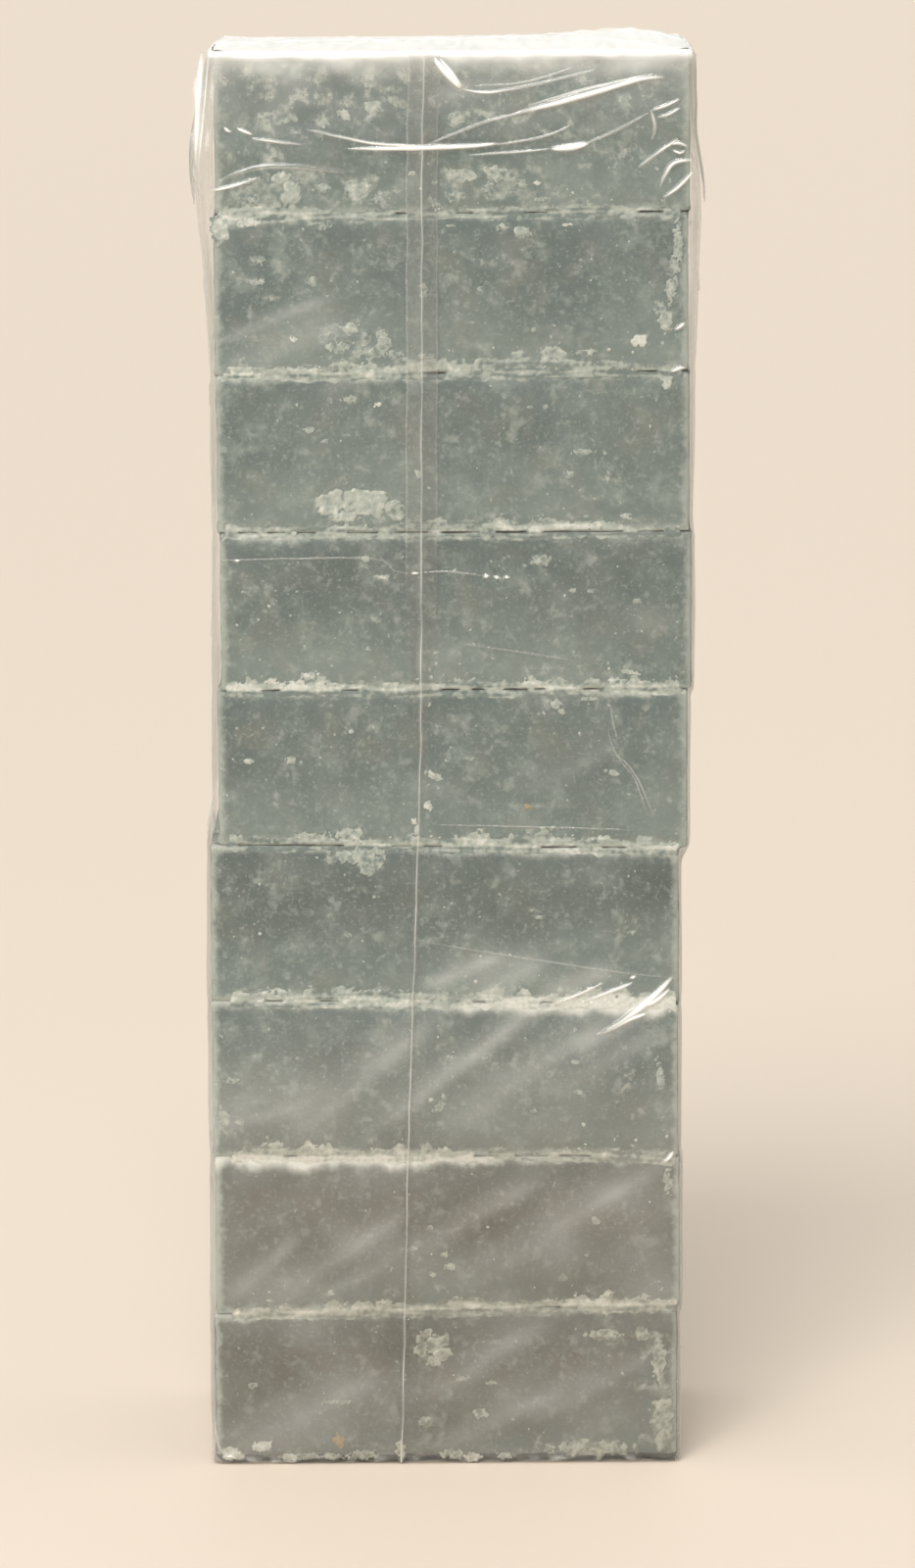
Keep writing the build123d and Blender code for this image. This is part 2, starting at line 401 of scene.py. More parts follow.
block = {
    "gridStep": (0.62, 0.9, 0.62),  # the net's steps in X, Y and Z
    "topBevel": 0.5,
    "footBevel": 0.35,
    "footWear": 3.2,  # how many times wider the lowest block's worn foot edge is
    "wearReach": 2.6,  # how far in from an edge the wear goes
    # how far noise moves the surface, and the size of its lumps
    "crumble": 0.7,
    "crumbleSize": 2.6,
    "swell": 0.35,
    "swellSize": 17,
    "grit": 0.16,
    "gritSize": 1.7,
    # how much painted shade darkens each block's upper half, lowest first
    "shade": [0.3, 0.7, 0.35, 0.55, 0.35, 0.35, 0.2, 0.18, 0.1],
    "warmLightHeights": (75, 42),  # painted warm light: the chalk is tinted a little browner and darker from the first height down to the second
    "warmLightOnPowder": 0.2,  # how much of that the loose powder takes on
    # how much higher each joint is at its right end than at its left, from the foot up
    "jointClimb": [0, 1.3, -0.3, -0.8, -0.9, 0.05, -0.05, 0.4, 0.2, 0],
    # how rubbed and how lit each block's top edge is along the front, partly a painted highlight, lowest
    # block first: X and whiteness
    "rubbedAndLit": [
        [(-38, 0.6), (-28, 0.5), (-18, 0.2), (0, 0.15), (20, 0.25), (34, 0.4)],
        [(-38, 1.3), (-24, 1.4), (-12, 1.2), (0, 0.8), (8, 0.6), (20, 0.4), (35, 0.3)],
        [(-38, 0.5), (-20, 0.5), (-6, 0.6), (4, 1.1), (14, 1.1), (22, 1.3), (34, 1.4)],
        [(-38, 0.4), (-28, 0.1), (-12, 0.15), (0, 0.35), (12, 0.55), (24, 0.65), (34, 0.7)],
        [(-38, 0.1), (-20, 0.05), (0, 0.15), (14, 0.3), (24, 0.5), (36, 0.4)],
        [(-38, 0.7), (-20, 0.55), (-8, 0.4), (6, 0.3), (20, 0.2), (36, 0.15)],
        [(-38, 0.6), (-20, 0.5), (-8, 0.45), (6, 0.4), (20, 0.3), (36, 0.2)],
        [(-38, 0.8), (-30, 0.6), (-18, 0.35), (-6, 0.3), (4, 0.25), (20, 0.15), (36, 0.2)],
        [(-38, 0.9), (-20, 0.8), (0, 0.7), (20, 0.7), (36, 0.8)],
    ],
    # worn hollows under the lowest block's front edge: X, half width, depth
    "footHollows": [
        (-31, 5, 1.0), (-21.5, 3.4, 1.3), (-14.8, 2.2, 1.1), (-8.2, 1.2, 0.8), (-3.0, 4.2, 2.2),
        (4.5, 2.0, 1.1), (14, 5, 0.9), (26, 9, 1.3),
    ],
    # where dust is caked on the front: X, Z, half width, half height, amount; high on the top block the
    # patches also paint glow from its lit top
    "caked": [
        (-27, 210, 7, 5.5, 1.0), (-15, 209.5, 6, 4, 0.9), (-1.5, 211, 4.5, 4.5, 0.8),
        (8.5, 211.5, 6, 4.5, 1.0), (15, 208.5, 7, 3, 0.6), (27, 211, 6, 5, 0.35), (-33, 207.5, 5, 3, 0.7),
        (-25, 221.5, 8, 3.5, 0.75), (-12, 222.5, 6, 3.5, 0.6), (3, 221.5, 6, 3.5, 0.55),
        (-24, 228, 15, 4.5, 0.95), (30, 224.5, 5, 3, 0.5), (-4, 227.5, 9, 4, 0.7), (20, 229.5, 16, 3, 0.7),
        (16, 221.5, 8, 4, 0.5), (-33, 216.5, 6, 4, 0.35), (24, 216, 9, 4, 0.4), (-15, 185.5, 8, 3.5, 0.7),
        (-33, 203, 7, 2.5, 0.6), (10, 203, 7, 2, 0.45), (6, 183.5, 22, 2.2, 0.5), (-30, 193, 7, 4, 0.25),
        (20, 193, 8, 4, 0.2), (24, 163, 9, 4, 0.35), (-30, 157, 8, 3, 0.3), (-14, 159, 8, 3.5, 0.5),
        (6, 156.5, 26, 1.6, 0.4), (-16, 130.5, 20, 1.8, 0.35), (20, 131.5, 14, 2.2, 0.55),
        (22, 127, 9, 2, 0.5), (-15, 103.5, 9, 3.5, 0.75), (-25, 110, 8, 3, 0.2), (10, 104.5, 14, 1.8, 0.4),
        (0, 78.8, 34, 1.6, 0.5), (-20, 54, 18, 2.2, 0.45), (20, 54, 12, 1.8, 0.4), (30, 63, 6, 6, 0.35),
        (-4, 60, 5, 4, 0.3), (-2, 33, 7, 5, 0.35), (0, 28, 30, 1.8, 0.45), (-4, 19, 4.5, 4, 0.4),
        (32, 13, 4, 11, 0.6), (18, 3, 18, 3, 0.65), (-20, 3, 14, 2.5, 0.5), (24, 21, 8, 2.5, 0.4),
    ],
}


def paintedWarmLightAt(z):
    # how much painted warm light tints the chalk at this height
    return ease(*block["warmLightHeights"], z)


def selectEdges(piece, wanted):
    # picks the edges whose two ends, in millimetres, pass the test
    makeActive(piece)
    bpy.ops.object.mode_set(mode="EDIT")
    bpy.ops.mesh.select_mode(type="EDGE")
    bpy.ops.mesh.select_all(action="DESELECT")
    bpy.ops.object.mode_set(mode="OBJECT")
    points = piece.data.vertices
    for edge in piece.data.edges:
        edge.select = wanted(*(points[k].co / mm for k in edge.vertices))
    bpy.ops.object.mode_set(mode="EDIT")


def bevelEdges(piece, wanted, offset, segments):
    selectEdges(piece, wanted)
    bpy.ops.mesh.bevel(offset=offset * mm, segments=segments, affect="EDGES")
    bpy.ops.object.mode_set(mode="OBJECT")


def cutAcross(piece, axis, length):
    # divides every edge that runs along one axis, which cuts the faces between them
    def runsAlong(first, second):
        run = second - first
        return abs(run[axis]) > 0.99 * run.length and run.length > 3
    selectEdges(piece, runsAlong)
    bpy.ops.mesh.subdivide(number_cuts=round(length / block["gridStep"][axis]) - 1)
    bpy.ops.object.mode_set(mode="OBJECT")


def addCloudDisplace(piece, name, strength, middle=0.5, group=""):
    texture = bpy.data.textures.new(name, "CLOUDS")
    texture.noise_scale = block[name + "Size"] * mm
    texture.noise_depth = 3
    texture.noise_basis = "ORIGINAL_PERLIN"
    modifier = piece.modifiers.new(name, "DISPLACE")
    modifier.texture = texture
    modifier.texture_coords = "LOCAL"
    modifier.strength = strength * mm
    modifier.mid_level = middle
    modifier.vertex_group = group


def edgeCloseness(point, low, high):
    # 1 on the nearest edge of the block, falling to 0 a little way in on its faces
    gaps = sorted(min(abs(point[k] - low[k]), abs(high[k] - point[k])) for k in range(3))
    return max(0, 1 - (gaps[1] - 0.2) / block["wearReach"])


def rubbedLitTop(place, row, low, high):
    # the worn strip along a block's top edge, partly a painted highlight, widest where it is whitest
    if place.y < low.y + 2:
        amount = lineAt(block["rubbedAndLit"][row], place.x)
    else:
        amount = 0.35 + 0.6 * ripple(place.x / 9, place.y / 9, row, 60)
    amount *= (0.95 + 0.6 * ripple(place.x / 3.1, place.y / 3.1, row, 55)
               + 0.2 * ripple(place.x, place.y, row, 54))
    depth = 0.6 + 1.1 * max(0, amount)
    below = high.z - place.z
    worn = max(0, amount) * ease(depth + 1.5, -0.4, below)
    if row == rowCount - 1:
        # painted light: the top block is whitened well down its faces, as a glow from its brightly lit top
        soft = below + 0.8 * ripple(place.x / 3, place.y / 3, below / 2, 59)
        worn = max(worn, 0.95 * ease(2.6, 0.1, soft), 0.5 * ease(7, 0.5, soft))
    return worn


def cakedAt(place, row):
    # how much dust is caked here, from the marked places on the front and by chance elsewhere
    if place.y > frontY + 1.5:
        cloud = 0.35 + 1.4 * ripple(place.x / 12, place.y / 12, place.z / 9, 58)
        return max(0, cloud) + 0.3 * (row == rowCount - 1)
    total = 0.1
    for x, z, wide, tall, amount in block["caked"]:
        away = math.hypot((place.x - x) / wide, (place.z - z) / tall)
        if away < 1.6:
            total += amount * ease(1.5, 0.3, away)
    return min(1.3, total)


def blockNumbers(place, row, low, high):
    # what the chalk's material reads at one point of a block
    rise = clamped((place.z - low.z) / rowHeight)
    uneven = 1 + 0.9 * ripple(place.x / 16, place.y / 16, place.z / 9, 48)
    shade = block["shade"][row] * ease(0.05, 0.55, rise) * uneven
    if row == 0:
        # painted shadow: the foot edge is darkened where it meets the floor
        above = place.z - low.z + 0.5 * ripple(place.x / 2, place.y / 2, 0.6, 49)
        shade = max(shade, 2 * ease(1.9, 0.9, above))
    return {
        "wear": edgeCloseness(place, low, high),
        "rise": rise,
        "arris": rubbedLitTop(place, row, low, high),
        "caked": cakedAt(place, row),
        "shade": shade,
        # painted warm light low down
        "paintedWarmLight": paintedWarmLightAt(place.z),
    }


def hollowAt(x):
    # how deep the lowest block's foot edge is worn here
    hollows = block["footHollows"]
    return max(depth * ease(half, half * 0.3, abs(x - middle)) for middle, half, depth in hollows)


def makeBlock(row):
    low = Vector((blockBoxes[row][0].x, frontY, levels[row]))
    high = Vector((blockBoxes[row][1].x, backY, levels[row + 1]))
    deselectAll()
    bpy.ops.mesh.primitive_cube_add(size=1, location=(low + high) / 2 * mm, scale=(high - low) * mm)
    piece = bpy.context.object
    mesh = piece.data
    piece.name = mesh.name = f"chalkBlock{row + 1}"
    bpy.ops.object.transform_apply(location=True, rotation=True, scale=True)
    bevelEdges(piece, lambda first, second: min(first.z, second.z) > high.z - 0.01, block["topBevel"], 3)
    footBevel = block["footBevel"] * (block["footWear"] if row == 0 else 1)
    bevelEdges(piece, lambda first, second: min(first.z, second.z) < high.z - 1, footBevel, 2)
    for axis in range(3):
        cutAcross(piece, axis, high[axis] - low[axis])
    # crumbled edges first, then the low swell and the grit of a pressed face
    edges = piece.vertex_groups.new(name="edges")
    for point in mesh.vertices:
        close = edgeCloseness(point.co / mm, low, high)
        if close > 0:
            edges.add([point.index], close ** 1.6, "REPLACE")
    addCloudDisplace(piece, "crumble", -block["crumble"], 0.35, "edges")
    addCloudDisplace(piece, "swell", block["swell"])
    addCloudDisplace(piece, "grit", block["grit"])
    applyModifiers(piece)
    mesh = piece.data
    numbers = [blockNumbers(point.co / mm, row, low, high) for point in mesh.vertices]
    addLayers(mesh, {layer: [n[layer] for n in numbers] for layer in numbers[0]})
    # the worn hollows at the foot, and the slant of the joints
    for point, rise in zip(mesh.vertices, [n["rise"] for n in numbers]):
        place = point.co / mm
        if row == 0 and place.y < low.y + 1.5 and place.z < low.z + 2:
            point.co.y += hollowAt(place.x) * ease(1.7, 0.1, place.z - low.z) * mm
        climb = block["jointClimb"][row] * (1 - rise) + block["jointClimb"][row + 1] * rise
        point.co.z += climb * (place.x - stackX) / blockWidth * mm
    mesh.shade_smooth()
    piece.vertex_groups.clear()
    mesh.materials.clear()
    mesh.materials.append(chalkMaterial)
    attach(piece, "root")
    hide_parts(f"chalk_block_{row + 1}")


for row in range(rowCount):
    makeBlock(row)
print("chalk blocks made")


# ---- powder caked along the joints, under the film

joint = {
    "thick": 0.15,
    "most": 0.15,  # it stays behind the film
    "sunk": 0.2,
    "crackDepth": 0.9,
    "crackWidth": 0.17,
    "least": -0.12,  # faces sunk deeper than this into the block are left out
    # the heights of its rows of points over the joint
    "levels": [
        -2.0, -1.6, -1.25, -0.95, -0.7, -0.45, -0.22, -0.05, 0.12, 0.3, 0.55, 0.85, 1.2, 1.55, 1.9, 2.25, 2.6,
        2.95, 3.3, 3.65, 4.0, 4.4, 4.8,
    ],
    "step": 0.33,  # between its columns
    # along the front, lowest joint first: X, how high the powder stands, how white it is
    "front": [
        [(-39, 1.6, 0.5), (-30, 1.0, 0.35), (-22, 1.9, 0.5), (-12, 1.9, 0.5), (-6, 1.2, 0.4), (0, 2.2, 0.5),
         (12, 1.6, 0.45), (22, 2.3, 0.55), (34, 1.9, 0.5)],
        [(-38, 1.4, 0.45), (-30, 2.4, 0.45), (-24, 2.8, 0.5), (-14, 2.3, 0.45), (-6, 1.5, 0.4), (4, 1.5, 0.4),
         (12, 1.0, 0.3), (20, 1.3, 0.35), (34, 0.7, 0.4)],
        # painted highlight: this joint's powder is whitest on the right, partly standing for glints of the
        # film there
        [(-37, 1.9, 0.45), (-26, 2.1, 0.5), (-14, 2.5, 0.5), (-6, 2.2, 0.5), (2, 2.0, 0.55), (6, 3.0, 0.65),
         (14, 2.6, 0.7), (24, 2.0, 0.8), (34, 2.2, 0.85)],
        [(-38, 2.2, 0.45), (-28, 2.0, 0.4), (-18, 2.4, 0.5), (-12, 2.0, 0.5), (-4, 1.6, 0.35), (2, 2.6, 0.5),
         (9, 3.2, 0.5), (16, 2.4, 0.45), (26, 1.7, 0.5), (34, 1.6, 0.6)],
        [(-38, 2.2, 0.75), (-30, 2.4, 0.8), (-22, 2.6, 0.75), (-14, 1.9, 0.6), (-8, 1.9, 0.55), (0, 1.8, 0.5),
         (10, 1.4, 0.45), (20, 2.0, 0.55), (28, 2.8, 0.65), (35, 1.8, 0.5)],
        [(-38, 1.6, 0.45), (-30, 1.2, 0.4), (-20, 1.6, 0.35), (-10, 1.4, 0.35), (-2, 2.4, 0.45),
         (4, 2.0, 0.5), (14, 2.2, 0.6), (24, 2.2, 0.65), (30, 0.9, 0.35), (37, 0.6, 0.3)],
        [(-38, 2.2, 0.55), (-30, 2.0, 0.45), (-20, 2.6, 0.4), (-10, 2.2, 0.4), (0, 2.6, 0.35), (8, 3.2, 0.28),
         (16, 3.8, 0.3), (24, 2.4, 0.24), (32, 1.6, 0.2), (37, 1.0, 0.2)],
        [(-38, 1.2, 0.4), (-30, 1.6, 0.5), (-22, 1.0, 0.4), (-12, 0.8, 0.3), (-2, 0.9, 0.3), (6, 0.8, 0.3),
         (12, 0.5, 0.25), (18, 1.4, 0.4), (22, 1.8, 0.45), (28, 1.5, 0.45), (34, 0.6, 0.3)],
    ],
    # where the joint still shows as a dark crack
    "cracks": [
        [(14, 17)],
        [(-28, -26), (3, 6), (10, 15), (17, 22)],
        [(-31, -28), (-22, -19), (3, 5), (14, 16)],
        [(-35, -18), (-10, -7), (-5, -2), (14, 20), (24, 28)],
        [(-31, -28), (-18, -15.5), (-2, 1), (3, 5), (8, 12), (13, 15), (21, 24)],
        [(-34.5, -31.5), (-30, -27), (-26, -22), (-17, -12), (-9, -4), (-2, 4), (7, 12), (14.5, 27.5),
         (30, 34)],
        [(-4, -1), (30, 33)],
        [(-9, -7), (1, 3.5), (12, 15.5), (30, 34)],
    ],
}


def jointPlace(face, along, row, dz, out):
    climb = block["jointClimb"][row]
    if face in wideFaces:
        z = levels[row] + climb * (along - stackX) / blockWidth + dz
        return (along, frontY - out if face == "front" else backY + out, z)
    # a narrow side passes from the lower block's X to the upper one's
    side = sideSigns[face]
    share = ease(-0.4, 0.4, dz)
    lower, upper = (blockBoxes[n][0 if side < 0 else 1].x for n in (row - 1, row))
    x = lower * (1 - share) + upper * share
    return (x + side * out, along, levels[row] + side * climb / 2 + dz)


def powderAt(face, along, row, half):
    # how high the powder stands here and how white it is
    if face == "front":
        line = joint["front"][row - 1]
        tall = lineAt([(x, h) for x, h, w in line], along)
        white = lineAt([(x, w) for x, h, w in line], along)
    else:
        tall = 1.5 + 2.2 * ripple(along / 8, row * 2.3, 0.4, 61)
        white = 0.45 + 0.3 * ripple(along / 10, row * 1.7, 0.6, 62)
    tall *= 0.8 + 0.7 * ripple(along / 2.6, row * 4.1, 0.2, 63)
    return tall - 4 * ease(1.6, 0.2, half - abs(along)), white


def crackAt(face, along, row):
    # 1 where the joint still shows as a dark crack
    if face != "front":
        return ease(0.0, 0.15, ripple(along / 5, row * 3.3, 0.8, 64))
    runs = joint["cracks"][row - 1]
    return max(ease(a - 0.3, a + 0.3, along) * ease(b + 0.3, b - 0.3, along) for a, b in runs)


def powderPoint(face, along, row, dz, tall, crack):
    # how far the powder stands out at one point, and how much of it there is
    ragged = tall + 0.8 * ripple(along / 1.7, dz / 1.2, row, 65)
    ragged += 1.0 * ripple(along / 0.6, dz / 0.5, row, 57)
    body = ease(ragged + 0.8, ragged - 0.7, dz)
    under = ease(-1.7, -0.7, dz + 0.7 * ripple(along / 1.4, 0.3, row, 66))
    if dz < 0 and face in wideFaces:
        low, high = blockBoxes[row - 1]
        under *= ease(0.1, 0.6, min(along - low.x, high.x - along))
    lumps = joint["thick"] * (0.55 + 0.9 * ripple(along / 1.1, dz / 0.9, row, 67))
    lumps += 0.09 * ripple(along / 0.5, dz / 0.5, row, 56)
    lumps *= 0.35 + 0.65 * ease(-0.8, 0.3, dz)
    out = min(-joint["sunk"] + (joint["sunk"] + lumps) * body * under, joint["most"])
    bend = 0.12 * ripple(along / 2.2, 0.5, row, 68)
    out -= joint["crackDepth"] * crack * math.exp(-((dz - bend) / joint["crackWidth"]) ** 2)
    return out, body * under


def powderTone(along, row, dz, white, rubbedLitTone):
    # whitest close to the joint; below it the powder takes on the rubbed edge's tone and painted highlight
    tone = white * (0.6 + 0.8 * math.exp(-abs(dz) / 1.2))
    tone += (rubbedLitTone - tone) * ease(0.4, -0.3, dz)
    tone += 0.3 * ripple(along / 1.8, dz / 1.5, row, 69) + 0.4 * ripple(along / 0.7, dz / 0.6, row, 53)
    return tone + 0.55 * ripple(along / 5, dz / 0.55, row, 52)


def makeJointPowder(row):
    points = []
    whites = []
    faces = []
    for face in ("front", "back", "left", "right"):
        wide = face in wideFaces
        half = blockWidth / 2 if wide else -frontY
        middle = (blockBoxes[row][0].x + blockBoxes[row][1].x) / 2 if wide else 0
        columns = int(2 * (half - 0.5) / joint["step"])
        start = len(points)
        heights = []
        for c in range(columns + 1):
            along = middle + (-half + 0.5 + (2 * half - 1) * c / columns)
            tall, white = powderAt(face, along, row, half - 0.3 * (face == "front"))
            crack = crackAt(face, along, row)
            rubbedLitTone = 0.8 * lineAt(block["rubbedAndLit"][row - 1], along) if face == "front" else 0.4
            for dz in joint["levels"]:
                out, amount = powderPoint(face, along, row, dz, tall, crack)
                heights.append(out)
                points.append(jointPlace(face, along, row, dz, out))
                whites.append(clamped(powderTone(along, row, dz, white, rubbedLitTone) * ease(-0.1, 0.8, amount)))
        net = netFaces(columns + 1, len(joint["levels"]), start)
        faces += crustFaces(net, heights, start, joint["least"], face)
    # the powder takes on the painted warm light of the lowest rows
    addLooseChalk(f"jointPowder{row}", points, faces, whites, block["warmLightOnPowder"] * paintedWarmLightAt(levels[row]))


for row in range(1, rowCount):
    makeJointPowder(row)
print("joint powder made")


# ---- flakes and patches of caked chalk on the faces

